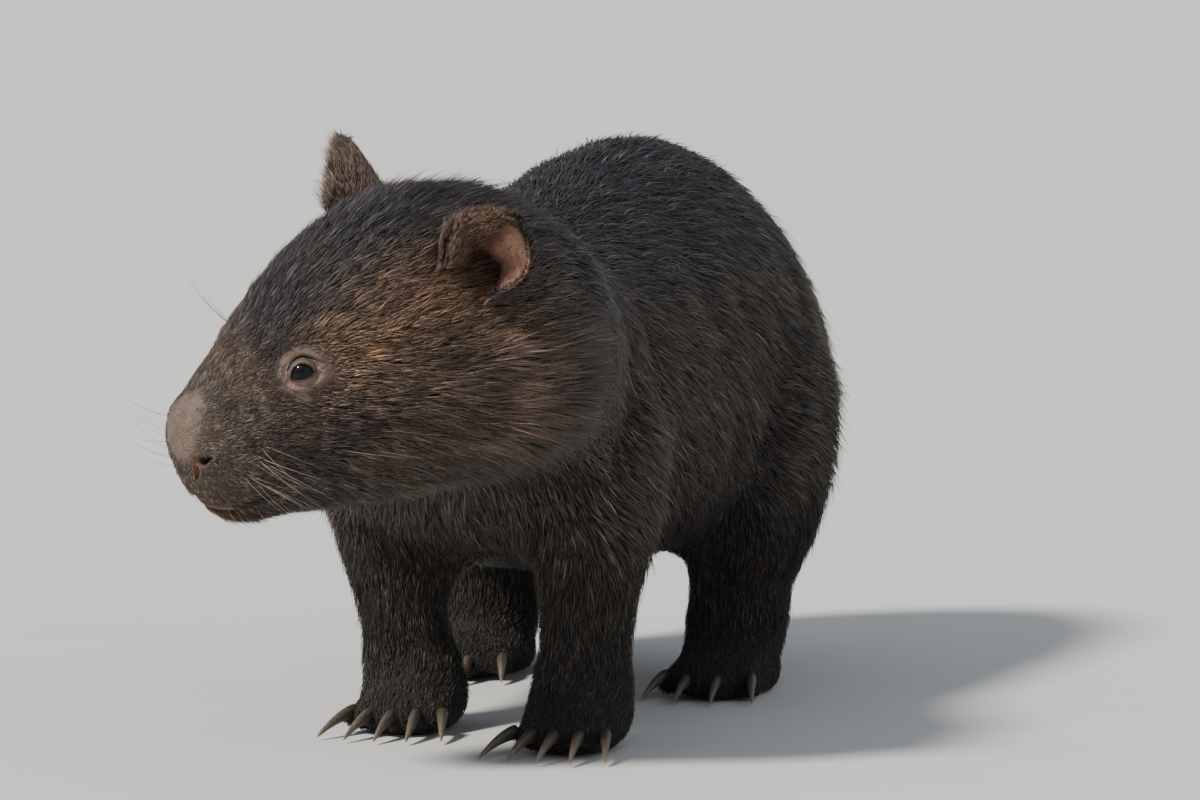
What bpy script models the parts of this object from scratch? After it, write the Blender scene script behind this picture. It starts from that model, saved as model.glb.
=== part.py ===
"""A bare-nosed wombat, standing with its head turned to its right.

Metres, +Z up, +X along the trunk towards the head, +Y to the animal's left, and the floor at z = 0.
The outline is the coat's. The flesh is modelled whole, as one cast, and parted with thin cuts.
"""

import math

import bmesh
import bpy
import numpy as np
from mathutils import Matrix, Vector
from mathutils.bvhtree import BVHTree

CM = 0.01
GAP = 0.0003  # between nodes that touch
MERGE = 0.000001
SHARP = 50.0  # degrees between faces at an edge that stays sharp
BLOCK = 2.0  # edge of the block that cuts along a plane

# The trunk, from the rump's end to the chest: along, half width, top, bottom
TRUNK_STATIONS = (
    (-0.320, 0.020, 0.206, 0.170),
    (-0.314, 0.056, 0.246, 0.128),
    (-0.292, 0.090, 0.284, 0.103),
    (-0.236, 0.110, 0.312, 0.085),
    (-0.165, 0.118, 0.323, 0.077),
    (-0.070, 0.118, 0.316, 0.075),
    (0.035, 0.115, 0.299, 0.080),
    (0.115, 0.108, 0.290, 0.092),
    (0.180, 0.095, 0.280, 0.112),
    (0.224, 0.062, 0.262, 0.144),
)
TRUNK_TOP_SQUARE = 1.76  # 2 is an ellipse, more is squarer
TRUNK_BELLY_SQUARE = 2.4
TRUNK_WIDEST = 0.40  # height of the widest line, as a share of the trunk's own height
TRUNK_RINGS = 34
TRUNK_AROUND = 40
CHEST = (0.125, 0.0, 0.196)  # where the neck starts, inside the trunk
CHEST_HALF_WIDTH = 0.100
CHEST_HALF_HEIGHT = 0.095
NECK_FIT = 0.93  # the neck's size where it meets the head, as a share of the head's
NECK_RINGS = 14
NECK_AROUND = 36

# The head's place: its origin lies midway between the ears' roots, +X to the nose, +Y to its left
HEAD_ORIGIN = (0.310, 0.012, 0.300)
HEAD_TURN = math.radians(-45.5)
HEAD_NOD = math.radians(15.4)
HEAD_ROLL = math.radians(-9.8)

# The head in its own frame, in centimetres, from inside the neck to the nose: along, half width, top, bottom
HEAD_STATIONS = (
    (-9.0, 5.2, -2.0, -11.0),
    (-7.0, 7.2, -0.8, -13.0),
    (-3.6, 8.0, 1.0, -14.0),
    (0.0, 8.3, 2.1, -14.4),
    (4.0, 7.8, 1.5, -14.2),
    (7.4, 6.5, -0.1, -13.8),
    (10.2, 5.1, -2.0, -13.3),
    (12.5, 4.25, -3.6, -12.8),
    (14.2, 3.55, -4.9, -12.2),
    (15.3, 2.8, -5.6, -11.0),
    (15.9, 1.7, -6.5, -9.8),
    (16.1, 0.7, -7.3, -8.7),
)
HEAD_TOP_SQUARE = 2.05
HEAD_JAW_SQUARE = 2.35
HEAD_RINGS = 25
HEAD_AROUND = 28
JAW_NARROWING = 0.28  # how much narrower the muzzle is at the chin than at the nose

# Soft swellings and hollows of the head, mirrored: centre in centimetres, height, spread
HEAD_SWELLINGS = (
    ((9.2, 4.6, -1.9), 0.35, 1.7),  # brow
    ((10.1, 5.3, -4.2), -0.35, 1.2),  # hollow round the eye
    ((2.0, 7.6, -7.5), 0.45, 3.2),  # cheek
    ((14.2, 3.4, -9.2), 0.40, 1.5),  # whisker pad
    ((15.6, 1.6, -5.8), 0.25, 1.2),  # wing of the nose
    ((13.4, 0.9, -12.3), 0.20, 1.4),  # chin
)

# Face, in the head's frame, in centimetres
EYE_AIM = (0.34, 0.89, 0.30)
EYE_ON_HEAD = (10.1, 5.2, -4.05)
EYE_RADIUS = 0.0085
EYE_SINK = 0.0066  # from the coat's surface to the eyeball's centre
LID_RADIUS = 0.0019
LID_HALF_WIDTH = math.radians(56.0)
LID_HALF_HEIGHT = math.radians(38.0)
LID_SLANT = 0.10  # how far the front corner lies below the back one, in radians
LID_STAND = 0.0006  # from the eyeball to the rim's middle
MOUTH_PIVOT = (10.4, 0.0)
MOUTH_HEIGHT = -11.05
MOUTH_RISE = 0.12  # how far the mouth's line climbs towards its corner, for each centimetre back
MOUTH_REACH = math.radians(84.0)
MOUTH_GAP = 0.0016
MOUTH_DEPTH = 0.0075
MOUTH_STAND = 0.009  # how far the mouth's cutter reaches out of the head
LIP_RADIUS = 0.0038
LIP_SINK = 0.62  # how deep the lip's bar lies, as a share of its radius
NOSTRIL_AIMS = ((14.6, -7.5), (15.1, -7.4), (15.5, -7.9), (15.75, -8.8))
NOSTRIL_RADII = (0.0014, 0.0032, 0.0028, 0.0011)
NOSTRIL_SINK = 0.0012

# Ears, for the left one, in the head's frame
EAR_ROOT = (-0.1, 6.5, -1.2)
EAR_AXIS = (-1.3, 3.6, 3.5)
EAR_FACING = (0.80, 0.62, -0.15)
EAR_LENGTH = 0.048
EAR_RADIUS = 0.0215
EAR_THICKNESS = 0.0036
EAR_WRAP_ROOT = math.radians(125.0)
EAR_WRAP_TIP = math.radians(70.0)
EAR_LEAN = 0.004  # how far the tip lies behind the root
EAR_ROWS = 7
EAR_COLUMNS = 10

# Legs, each as a path of rounds: along, aside, height, fore-and-aft radius, sideways radius.
# Along is measured from the leg's joint in the trunk, and aside from the trunk's middle plane.
FORELEG_ROUNDS = (
    (0.000, 0.050, 0.220, 0.058, 0.040),
    (-0.004, 0.068, 0.175, 0.060, 0.045),
    (-0.008, 0.071, 0.130, 0.048, 0.039),
    (-0.004, 0.068, 0.090, 0.036, 0.034),
    (0.000, 0.066, 0.055, 0.030, 0.031),
    (0.000, 0.064, 0.026, 0.032, 0.033),
)
HINDLEG_ROUNDS = (
    (0.000, 0.058, 0.220, 0.080, 0.050),
    (0.006, 0.082, 0.176, 0.088, 0.052),
    (0.010, 0.088, 0.132, 0.078, 0.051),
    (0.004, 0.088, 0.094, 0.058, 0.044),
    (-0.010, 0.084, 0.060, 0.042, 0.034),
    (-0.014, 0.082, 0.028, 0.036, 0.032),
)
LEG_RINGS = 9
LEG_AROUND = 16
FORE_ANKLE = 0.046  # height of the cut between leg and foot
HIND_ANKLE = 0.052
SHOULDERS = 0.150  # where the legs leave the trunk, along it
HIPS = -0.165
FOOT_STANDS = {  # where each foot's middle stands: along the trunk, and aside
    "foreleg_left": (0.172, 0.068),
    "foreleg_right": (0.112, -0.044),
    "hindleg_left": (-0.090, 0.083),
    "hindleg_right": (-0.140, -0.082),
}
# half length, half width and height of the foot's sole piece, and how far it lies ahead of the foot's middle
FORE_SOLE = (0.050, 0.034, 0.034, 0.010)
HIND_SOLE = (0.062, 0.033, 0.032, 0.008)
FORE_TOES = 5
HIND_TOES = 4
TOE_RADIUS = 0.0105
TOE_LENGTH = 0.030
TOE_FAN = math.radians(16.0)
TOE_SETBACK = 0.008  # from the toe's front spot to its middle
FORE_CLAW = 0.030
HIND_CLAW = 0.021
CLAW_RADIUS = 0.0042
CLAW_ROOT_HEIGHT = 0.0125
CLAW_TIP_HEIGHT = 0.0020
CLAW_TAPER = 0.80

TAIL_ROOT = (-0.300, 0.0, 0.176)
TAIL_LENGTH = 0.044
TAIL_RADIUS = 0.013
TAIL_DROOP = 0.022
TAIL_TAPER = 0.5
TAIL_RINGS = 6

NECK_CUT = (0.192, 0.0, 0.0)  # a point of the cut between torso and neck
NECK_CUT_TURN = math.radians(-22.0)
HEAD_PLANE = -4.4 * CM  # where the head ends, in its own frame
CAST_VOXEL = 0.006
CAST_SMOOTHING = 6
CAST_SHARE = 0.038  # triangles kept of the cast
LEG_ENVELOPE = 0.006  # how far the cut round a leg lies outside the leg's own rounds
LEG_END = 0.006  # how far a leg runs on under its last round
ENVELOPE_END = 0.040
FOOT_ROOM = (1.6, 1.7, 0.062)  # round a foot: shares of the sole's length and width, and a height

# Looks: colour and roughness
COAT = ((0.055, 0.042, 0.036), 0.90)
COAT_BROWN = ((0.105, 0.070, 0.050), 0.90)
EYE_BLACK = ((0.010, 0.010, 0.014), 0.10)
CLAW_HORN = ((0.160, 0.130, 0.100), 0.50)
EAR_SKIN = ((0.200, 0.120, 0.090), 0.80)


def start_scene():
    for obj in list(bpy.data.objects):
        bpy.data.objects.remove(obj, do_unlink=True)


def material(name, look):
    colour, roughness = look
    made = bpy.data.materials.new(name)
    made.use_nodes = True
    shader = made.node_tree.nodes["Principled BSDF"]
    shader.inputs["Base Color"].default_value = (*colour, 1.0)
    shader.inputs["Roughness"].default_value = roughness
    made.diffuse_color = (*colour, 1.0)
    return made


def curve_through(values, at):
    """A smooth curve through evenly spaced values, with the slope at each one set by its two neighbours."""
    values = np.asarray(values, float)
    slopes = np.gradient(values, axis=0)
    low = np.clip(np.floor(at).astype(int), 0, len(values) - 2)
    t = (np.asarray(at) - low)[:, None]
    start, end = values[low], values[low + 1]
    rise, fall = slopes[low], slopes[low + 1]
    return (
        (2 * t**3 - 3 * t**2 + 1) * start
        + (t**3 - 2 * t**2 + t) * rise
        + (3 * t**2 - 2 * t**3) * end
        + (t**3 - t**2) * fall
    )


def power(value, exponent):
    return np.sign(value) * np.abs(value) ** exponent


def mesh_object(name, points, faces):
    mesh = bpy.data.meshes.new(name)
    mesh.from_pydata([tuple(p) for p in points], [], faces)
    mesh.validate()
    obj = bpy.data.objects.new(name, mesh)
    bpy.context.scene.collection.objects.link(obj)
    return obj


def loft(name, rings):
    """A closed body through rings of points, (rings, points, 3), each end closed by a fan to its middle."""
    count, around = rings.shape[:2]
    points = [*rings.reshape(-1, 3), rings[0].mean(axis=0), rings[-1].mean(axis=0)]
    faces = []
    for i in range(count - 1):
        for j in range(around):
            k = (j + 1) % around
            faces.append((i * around + j, i * around + k, (i + 1) * around + k, (i + 1) * around + j))
    first, last = count * around, count * around + 1
    for j in range(around):
        k = (j + 1) % around
        faces.append((first, k, j))
        faces.append((last, (count - 1) * around + j, (count - 1) * around + k))
    obj = mesh_object(name, points, faces)
    face_outwards(obj)
    return obj


def face_outwards(obj):
    work = bmesh.new()
    work.from_mesh(obj.data)
    bmesh.ops.recalc_face_normals(work, faces=work.faces)
    if work.calc_volume(signed=True) < 0:
        bmesh.ops.reverse_faces(work, faces=work.faces)
    work.to_mesh(obj.data)
    work.free()


def settled(obj):
    """The object with its modifiers and its place taken into its mesh, as one body of welded triangles."""
    bpy.context.view_layer.update()
    seen = obj.evaluated_get(bpy.context.evaluated_depsgraph_get())
    mesh = bpy.data.meshes.new_from_object(seen)
    mesh.transform(obj.matrix_world)
    work = bmesh.new()
    work.from_mesh(mesh)
    bmesh.ops.remove_doubles(work, verts=work.verts, dist=MERGE)
    bmesh.ops.triangulate(work, faces=work.faces)
    work.to_mesh(mesh)
    work.free()
    name = obj.name
    bpy.data.objects.remove(obj, do_unlink=True)
    made = bpy.data.objects.new(name, mesh)
    bpy.context.scene.collection.objects.link(made)
    return made


def copy_of(obj, name):
    made = bpy.data.objects.new(name, obj.data.copy())
    bpy.context.scene.collection.objects.link(made)
    return made


def combined(obj, others, operation, solver="EXACT"):
    """One Boolean of the object with all the others, which are then removed."""
    group = bpy.data.collections.new("pieces")
    for other in others:
        group.objects.link(other)
    change = obj.modifiers.new("combine", "BOOLEAN")
    change.operand_type = "COLLECTION"
    change.collection = group
    change.operation = operation
    change.solver = solver
    made = settled(obj)
    for other in others:
        bpy.data.objects.remove(other, do_unlink=True)
    bpy.data.collections.remove(group)
    return largest_body(made)


def largest_body(obj):
    """Keeps the object's largest closed surface."""
    work = bmesh.new()
    work.from_mesh(obj.data)
    left = set(work.verts)
    bodies = []
    while left:
        stack = [left.pop()]
        body = list(stack)
        while stack:
            for edge in stack.pop().link_edges:
                for vert in edge.verts:
                    if vert in left:
                        left.discard(vert)
                        stack.append(vert)
                        body.append(vert)
        bodies.append(body)
    bodies.sort(key=len)
    for body in bodies[:-1]:
        bmesh.ops.delete(work, geom=body, context="VERTS")
    work.to_mesh(obj.data)
    work.free()
    return obj


def grown(obj, name, distance=GAP):
    """A copy of the object with its surface moved out by a distance."""
    made = copy_of(obj, name)
    work = bmesh.new()
    work.from_mesh(made.data)
    work.normal_update()
    moves = [vert.normal * (distance * vert.calc_shell_factor()) for vert in work.verts]
    for vert, move in zip(work.verts, moves):
        vert.co += move
    work.to_mesh(made.data)
    work.free()
    return made


def sliced(obj, point, normal):
    """Keeps the part of the object behind a plane."""
    way = Vector(normal).normalized()
    turn = way.to_track_quat("Z", "Y").to_matrix().to_4x4()
    place = Matrix.Translation(Vector(point) + way * BLOCK / 2) @ turn
    mesh = bpy.data.meshes.new("block")
    work = bmesh.new()
    bmesh.ops.create_cube(work, size=BLOCK, matrix=place)
    work.to_mesh(mesh)
    work.free()
    block = bpy.data.objects.new("block", mesh)
    bpy.context.scene.collection.objects.link(block)
    return combined(obj, [block], "DIFFERENCE")


def tube(name, points, radii, closed=False, sides=2):
    """A round bar along points, with a radius at each."""
    data = bpy.data.curves.new(name, "CURVE")
    data.dimensions = "3D"
    data.bevel_depth = 1.0
    data.bevel_resolution = sides
    data.use_fill_caps = True
    line = data.splines.new("POLY")
    line.points.add(len(points) - 1)
    for knot, point, radius in zip(line.points, points, radii):
        knot.co = (*point, 1.0)
        knot.radius = radius
    line.use_cyclic_u = closed
    obj = bpy.data.objects.new(name, data)
    bpy.context.scene.collection.objects.link(obj)
    made = settled(obj)
    face_outwards(made)
    return made


def ellipsoid(name, centre, radii, turn=0.0, segments=20, rings=12):
    """A ball of three radii, turned about the upright."""
    mesh = bpy.data.meshes.new(name)
    work = bmesh.new()
    place = Matrix.Translation(centre) @ Matrix.Rotation(turn, 4, "Z") @ Matrix.Diagonal((*radii, 1.0))
    bmesh.ops.create_uvsphere(work, u_segments=segments, v_segments=rings, radius=1.0, matrix=place)
    work.to_mesh(mesh)
    work.free()
    obj = bpy.data.objects.new(name, mesh)
    bpy.context.scene.collection.objects.link(obj)
    return obj


def oval(middle, top, bottom, half_width, angle, top_square, belly_square):
    """Across and up for a ring whose upper and lower halves have squareness of their own."""
    upper = np.sin(angle) > 0
    square = np.where(upper, top_square, belly_square)
    across = half_width[:, None] * power(np.cos(angle), 2 / square)
    reach = np.where(upper, (top - middle)[:, None], (middle - bottom)[:, None])
    return across, middle[:, None] + reach * power(np.sin(angle), 2 / square)


def trunk():
    """Rings of a squared oval down the trunk, from the rump to the chest."""
    at = np.linspace(0, len(TRUNK_STATIONS) - 1, TRUNK_RINGS)
    along, half_width, top, bottom = curve_through(TRUNK_STATIONS, at).T
    angle = np.linspace(0, 2 * math.pi, TRUNK_AROUND, endpoint=False)
    middle = bottom + TRUNK_WIDEST * (top - bottom)
    across, height = oval(middle, top, bottom, half_width, angle, TRUNK_TOP_SQUARE, TRUNK_BELLY_SQUARE)
    return loft("trunk", np.stack([np.repeat(along[:, None], len(angle), axis=1), across, height], axis=2))


def head_surface(rings, around):
    """Rings of the head in its own frame, in metres, with its swellings and hollows."""
    at = np.linspace(0, len(HEAD_STATIONS) - 1, rings)
    along, half_width, top, bottom = (curve_through(HEAD_STATIONS, at) * CM).T
    angle = np.linspace(0, 2 * math.pi, around, endpoint=False)
    middle = (top + bottom) / 2
    across, height = oval(middle, top, bottom, half_width, angle, HEAD_TOP_SQUARE, HEAD_JAW_SQUARE)
    upward = np.sin(angle)
    muzzle = np.clip(along / (16 * CM), 0, 1)[:, None]
    narrowing = 1 - JAW_NARROWING * muzzle * np.clip(-upward, 0, 1) + 0.05 * muzzle * np.clip(upward, 0, 1)
    points = np.stack([np.repeat(along[:, None], around, axis=1), across * narrowing, height], axis=2)
    outward = points - np.stack([along, 0 * along, middle], axis=1)[:, None, :]
    outward /= np.maximum(np.linalg.norm(outward, axis=2, keepdims=True), 1e-9)
    for centre, height, spread in HEAD_SWELLINGS:
        for side in (1, -1):
            middle_point = np.array(centre) * (1, side, 1) * CM
            distance = np.linalg.norm(points - middle_point, axis=2, keepdims=True)
            points = points + outward * height * CM * np.exp(-((distance / (spread * CM)) ** 2))
    return points


def head_place():
    turn = Matrix.Rotation(HEAD_TURN, 4, "Z")
    nod = Matrix.Rotation(HEAD_NOD, 4, "Y")
    roll = Matrix.Rotation(HEAD_ROLL, 4, "X")
    return Matrix.Translation(HEAD_ORIGIN) @ turn @ nod @ roll


def neck():
    """Rings from inside the chest to inside the head, turning from the trunk's way to the head's."""
    place = head_place()
    back = curve_through(HEAD_STATIONS, np.array([2.2]))[0] * CM
    start = Vector(CHEST)
    end = place @ Vector((back[0], 0.0, (back[2] + back[3]) / 2))
    ahead_start = Vector((1.0, 0.0, 0.05))
    ahead_end = place.to_3x3() @ Vector((1.0, 0.0, 0.0))
    side_start = Vector((0.0, 1.0, 0.0))
    side_end = place.to_3x3() @ Vector((0.0, 1.0, 0.0))
    reach = (end - start).length
    angle = np.linspace(0, 2 * math.pi, NECK_AROUND, endpoint=False)
    across = power(np.cos(angle), 2 / HEAD_JAW_SQUARE)
    upward = power(np.sin(angle), 2 / HEAD_JAW_SQUARE)
    rings = []
    for t in np.linspace(0, 1, NECK_RINGS):
        middle = (
            start * (2 * t**3 - 3 * t**2 + 1)
            + ahead_start * reach * (t**3 - 2 * t**2 + t)
            + end * (3 * t**2 - 2 * t**3)
            + ahead_end * reach * (t**3 - t**2)
        )
        ahead = ahead_start.lerp(ahead_end, t).normalized()
        side = side_start.lerp(side_end, t)
        side = (side - ahead * side.dot(ahead)).normalized()
        up = ahead.cross(side)
        half_width = CHEST_HALF_WIDTH * (1 - t) + back[1] * NECK_FIT * t
        half_height = CHEST_HALF_HEIGHT * (1 - t) + (back[2] - back[3]) / 2 * NECK_FIT * t
        rings.append(
            np.array(middle) + np.outer(half_width * across, side) + np.outer(half_height * upward, up)
        )
    return loft("neck", np.array(rings))


def leg_rounds(name):
    """The rounds of one leg, leaning from its joint in the trunk to the place where its foot stands."""
    rounds = FORELEG_ROUNDS if name.startswith("fore") else HINDLEG_ROUNDS
    joint = SHOULDERS if name.startswith("fore") else HIPS
    side = 1 if name.endswith("left") else -1
    stand, aside = FOOT_STANDS[name]
    made = curve_through(rounds, np.linspace(0, len(rounds) - 1, LEG_RINGS))
    lean = np.clip(1 - (made[:, 2] - rounds[-1][2]) / (rounds[0][2] - rounds[-1][2]), 0, 1)
    along = made[:, 0] + joint + (stand - joint) * lean
    across = side * made[:, 1] + (aside - side * rounds[-1][1]) * lean
    return np.stack([along, across, made[:, 2], made[:, 3], made[:, 4]], axis=1)


def leg_body(name, extra=0.0, label=None):
    """Level rounds down one leg, each an oval."""
    rounds = leg_rounds(name)
    angle = np.linspace(0, 2 * math.pi, LEG_AROUND, endpoint=False)
    first, last = rounds[0].copy(), rounds[-1].copy()
    first[2] += first[4] * 0.6
    first[3:] *= 0.55
    last[2] -= LEG_END if extra == 0 else ENVELOPE_END
    stack = np.vstack([first, rounds, last])
    rings = np.stack(
        [
            stack[:, 0:1] + (stack[:, 3:4] + extra) * np.cos(angle),
            stack[:, 1:2] + (stack[:, 4:5] + extra) * np.sin(angle),
            np.repeat(stack[:, 2:3], len(angle), axis=1),
        ],
        axis=2,
    )
    return loft(label or name, rings)


def toe_rows(name):
    """Where each toe's tip lies, and the way it points: a fan across the front of the foot."""
    fore = name.startswith("fore")
    count = FORE_TOES if fore else HIND_TOES
    half_length, half_width, _, ahead = FORE_SOLE if fore else HIND_SOLE
    stand, aside = FOOT_STANDS[name]
    rows = []
    for i in range(count):
        across = (i - (count - 1) / 2) / ((count - 1) / 2)
        fan = across * TOE_FAN
        reach = half_length * (0.88 - 0.19 * across**2)
        spot = Vector((stand + ahead + reach, aside + across * half_width * 0.80, 0.0))
        rows.append((spot, Vector((math.cos(fan), math.sin(fan), 0.0))))
    return rows


def sole(name):
    """The low body of the foot, reaching below the floor, where it is cut flat."""
    half_length, half_width, height, ahead = FORE_SOLE if name.startswith("fore") else HIND_SOLE
    stand, aside = FOOT_STANDS[name]
    return ellipsoid("sole", (stand + ahead, aside, height * 0.36), (half_length, half_width, height * 0.62))


def toes(name):
    """A short round toe for each claw, reaching back into the foot."""
    made = []
    for spot, way in toe_rows(name):
        middle = spot - way * TOE_SETBACK + Vector((0, 0, TOE_RADIUS * 0.90))
        turn = math.atan2(way.y, way.x)
        made.append(ellipsoid("toe", middle, (TOE_LENGTH / 2, TOE_RADIUS * 0.86, TOE_RADIUS), turn, 8, 5))
    return made


def joined(name, objects):
    """All the objects as one, still apart."""
    work = bmesh.new()
    for obj in objects:
        part = obj.data.copy()
        part.transform(obj.matrix_world)
        work.from_mesh(part)
        bpy.data.objects.remove(obj, do_unlink=True)
    mesh = bpy.data.meshes.new(name)
    work.to_mesh(mesh)
    work.free()
    made = bpy.data.objects.new(name, mesh)
    bpy.context.scene.collection.objects.link(made)
    return made


def whole_cast():
    """Trunk, neck, legs and feet run together into one smooth closed surface."""
    pieces = [trunk(), neck()]
    for name in FOOT_STANDS:
        pieces += [leg_body(name), sole(name)]
    cast = joined("cast", pieces)
    fuse = cast.modifiers.new("fuse", "REMESH")
    fuse.mode = "VOXEL"
    fuse.voxel_size = CAST_VOXEL
    ease = cast.modifiers.new("ease", "SMOOTH")
    ease.factor = 0.5
    ease.iterations = CAST_SMOOTHING
    thin = cast.modifiers.new("thin", "DECIMATE")
    thin.ratio = CAST_SHARE
    return largest_body(settled(cast))


def finish(obj, name, look):
    """Names a node, gives it a material of its own and files it with the rest of the animal."""
    obj.name = name
    obj.data.name = name
    obj.data.materials.clear()
    obj.data.materials.append(material(name, look))
    for polygon in obj.data.polygons:
        polygon.use_smooth = True
    obj.data.set_sharp_from_angle(angle=math.radians(SHARP))
    for home in obj.users_collection:
        home.objects.unlink(obj)
    bpy.data.collections["wombat"].objects.link(obj)
    return obj


def part_legs(cast):
    """Takes each leg out of the cast with a thin cut round it, and its foot off the leg."""
    for name in FOOT_STANDS:
        ankle = FORE_ANKLE if name.startswith("fore") else HIND_ANKLE
        envelope = leg_body(name, LEG_ENVELOPE, "envelope")
        wider = leg_body(name, LEG_ENVELOPE + GAP, "wider")
        reach = foot_room(name, 0.0)
        reach_wider = foot_room(name, GAP)
        leg = combined(copy_of(cast, "leg"), [combined(envelope, [reach], "UNION")], "INTERSECT")
        cast = combined(cast, [combined(wider, [reach_wider], "UNION")], "DIFFERENCE")
        foot = sliced(copy_of(leg, "foot"), (0, 0, ankle - GAP / 2), (0, 0, 1))
        foot = combined(foot, toes(name), "UNION")
        foot = sliced(foot, (0, 0, 0), (0, 0, -1))
        leg = sliced(leg, (0, 0, ankle + GAP / 2), (0, 0, -1))
        finish(leg, name, COAT)
        finish(foot, name.replace("leg", "foot"), COAT)
    return cast


def foot_room(name, extra):
    """A round that holds the whole foot, for the cut."""
    half_length, half_width, _, ahead = FORE_SOLE if name.startswith("fore") else HIND_SOLE
    stand, aside = FOOT_STANDS[name]
    radii = (half_length * FOOT_ROOM[0] + extra, half_width * FOOT_ROOM[1] + extra, FOOT_ROOM[2] + extra)
    return ellipsoid("reach", (stand + ahead, aside, 0.0), radii, segments=16, rings=8)


def claws():
    """One curved, tapered claw on each toe, set against the foot."""
    for name in FOOT_STANDS:
        fore = name.startswith("fore")
        foot = bpy.data.objects[name.replace("leg", "foot")]
        length = FORE_CLAW if fore else HIND_CLAW
        for number, (spot, way) in enumerate(toe_rows(name), 1):
            points, radii = [], []
            for t in np.linspace(0, 1, 5):
                height = CLAW_ROOT_HEIGHT - (CLAW_ROOT_HEIGHT - CLAW_TIP_HEIGHT) * t**1.7
                points.append(spot + way * (length * (1.25 * t - 0.15)) + Vector((0, 0, height)))
                radii.append(CLAW_RADIUS * (1 - CLAW_TAPER * t**1.3))
            claw = tube("claw", points, radii, sides=1)
            claw = combined(claw, [grown(foot, "against")], "DIFFERENCE")
            finish(claw, f"{name.replace('leg', 'claw')}_{number}", CLAW_HORN)


def eye_frame(side, surface):
    """The eyeball's centre, and the ways out, forward and up from it, in the head's frame."""
    out = Vector((EYE_AIM[0], EYE_AIM[1] * side, EYE_AIM[2])).normalized()
    near = Vector((EYE_ON_HEAD[0], EYE_ON_HEAD[1] * side, EYE_ON_HEAD[2])) * CM
    hit = surface.ray_cast(near + out * 0.05, -out)[0]
    forward = (Vector((1, 0, 0)) - out * out.x).normalized()
    up = forward.cross(out) * side
    return hit - out * EYE_SINK, out, forward, up


def lid_ring(side, surface):
    """The rims of both lids as one ring on the eyeball, pointed at its two corners."""
    centre, out, forward, up = eye_frame(side, surface)
    points = []
    for a in np.linspace(0, 2 * math.pi, 14, endpoint=False):
        wide = LID_HALF_WIDTH * math.cos(a)
        swell = math.copysign(abs(math.sin(a)) ** 1.25, math.sin(a))
        high = LID_HALF_HEIGHT * swell - LID_SLANT * math.cos(a)
        way = out * (math.cos(wide) * math.cos(high)) + forward * math.sin(wide)
        way += up * (math.sin(high) * math.cos(wide))
        points.append(centre + way.normalized() * (EYE_RADIUS + LID_STAND))
    return tube("lid", points, [LID_RADIUS] * len(points), closed=True, sides=1)


def mouth_lines(surface):
    """Points on the head's surface along the mouth, from one corner round the front to the other."""
    line = []
    for a in np.linspace(-MOUTH_REACH, MOUTH_REACH, 13):
        way = Vector((math.cos(a), math.sin(a), 0))
        height = MOUTH_HEIGHT + MOUTH_RISE * (1 - math.cos(a)) * 5.0
        start = Vector((MOUTH_PIVOT[0], MOUTH_PIVOT[1], height)) * CM
        hit = surface.ray_cast(start + way * 0.12, -way)[0]
        line.append((hit, way))
    return line


def mouth_cutter(line):
    """A thin ribbon that follows the mouth and reaches a little way in."""
    points, faces = [], []
    for spot, way in line:
        points += [spot - way * MOUTH_DEPTH, spot + way * MOUTH_STAND]
    for i in range(len(line) - 1):
        faces.append((2 * i, 2 * i + 1, 2 * i + 3, 2 * i + 2))
    ribbon = mesh_object("mouth", points, faces)
    wall = ribbon.modifiers.new("wall", "SOLIDIFY")
    wall.thickness = MOUTH_GAP
    wall.offset = 0
    made = settled(ribbon)
    face_outwards(made)
    return made


def lip(line, lift):
    """A soft bar above or below the mouth, thinning to its corners."""
    points, radii = [], []
    for i in range(1, len(line) - 1):
        spot, way = line[i]
        points.append(spot - way * LIP_RADIUS * LIP_SINK + Vector((0, 0, lift * LIP_RADIUS)))
        swell = math.sin(math.pi * i / (len(line) - 1)) ** 0.6
        radii.append(LIP_RADIUS * (0.35 + 0.65 * swell))
    return tube("lip", points, radii, sides=1)


def head():
    """The head in its own frame with lids, lips, nostrils and the line of the mouth, then set in place."""
    body = settled(loft("head", head_surface(HEAD_RINGS, HEAD_AROUND)))
    surface = BVHTree.FromObject(body, bpy.context.evaluated_depsgraph_get())
    line = mouth_lines(surface)
    pieces = [lip(line, 1), lip(line, -1)]
    taken = [mouth_cutter(line)]
    centres = {}
    for side in (1, -1):
        pieces.append(lid_ring(side, surface))
        centres[side] = eye_frame(side, surface)[0]
        reach = EYE_RADIUS + GAP
        taken.append(ellipsoid("socket", centres[side], (reach, reach, reach), segments=16, rings=12))
        path = []
        for x, z in NOSTRIL_AIMS:
            start = Vector((x * CM, 0.10 * side, z * CM))
            hit = surface.ray_cast(start, Vector((0, -side, 0)))[0]
            path.append(hit - Vector((0, NOSTRIL_SINK * side, 0)))
        taken.append(tube("nostril", path, NOSTRIL_RADII, sides=1))
    body = combined(body, pieces, "UNION")
    body = combined(body, taken, "DIFFERENCE")
    body = sliced(body, (HEAD_PLANE, 0, 0), (-1, 0, 0))
    body.data.transform(head_place())
    return body, centres


def eyes(centres):
    for side, word in ((1, "left"), (-1, "right")):
        ball = ellipsoid("ball", centres[side], (EYE_RADIUS,) * 3, segments=16, rings=10)
        ball.data.transform(head_place())
        finish(ball, f"eye_{word}", EYE_BLACK)


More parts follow.
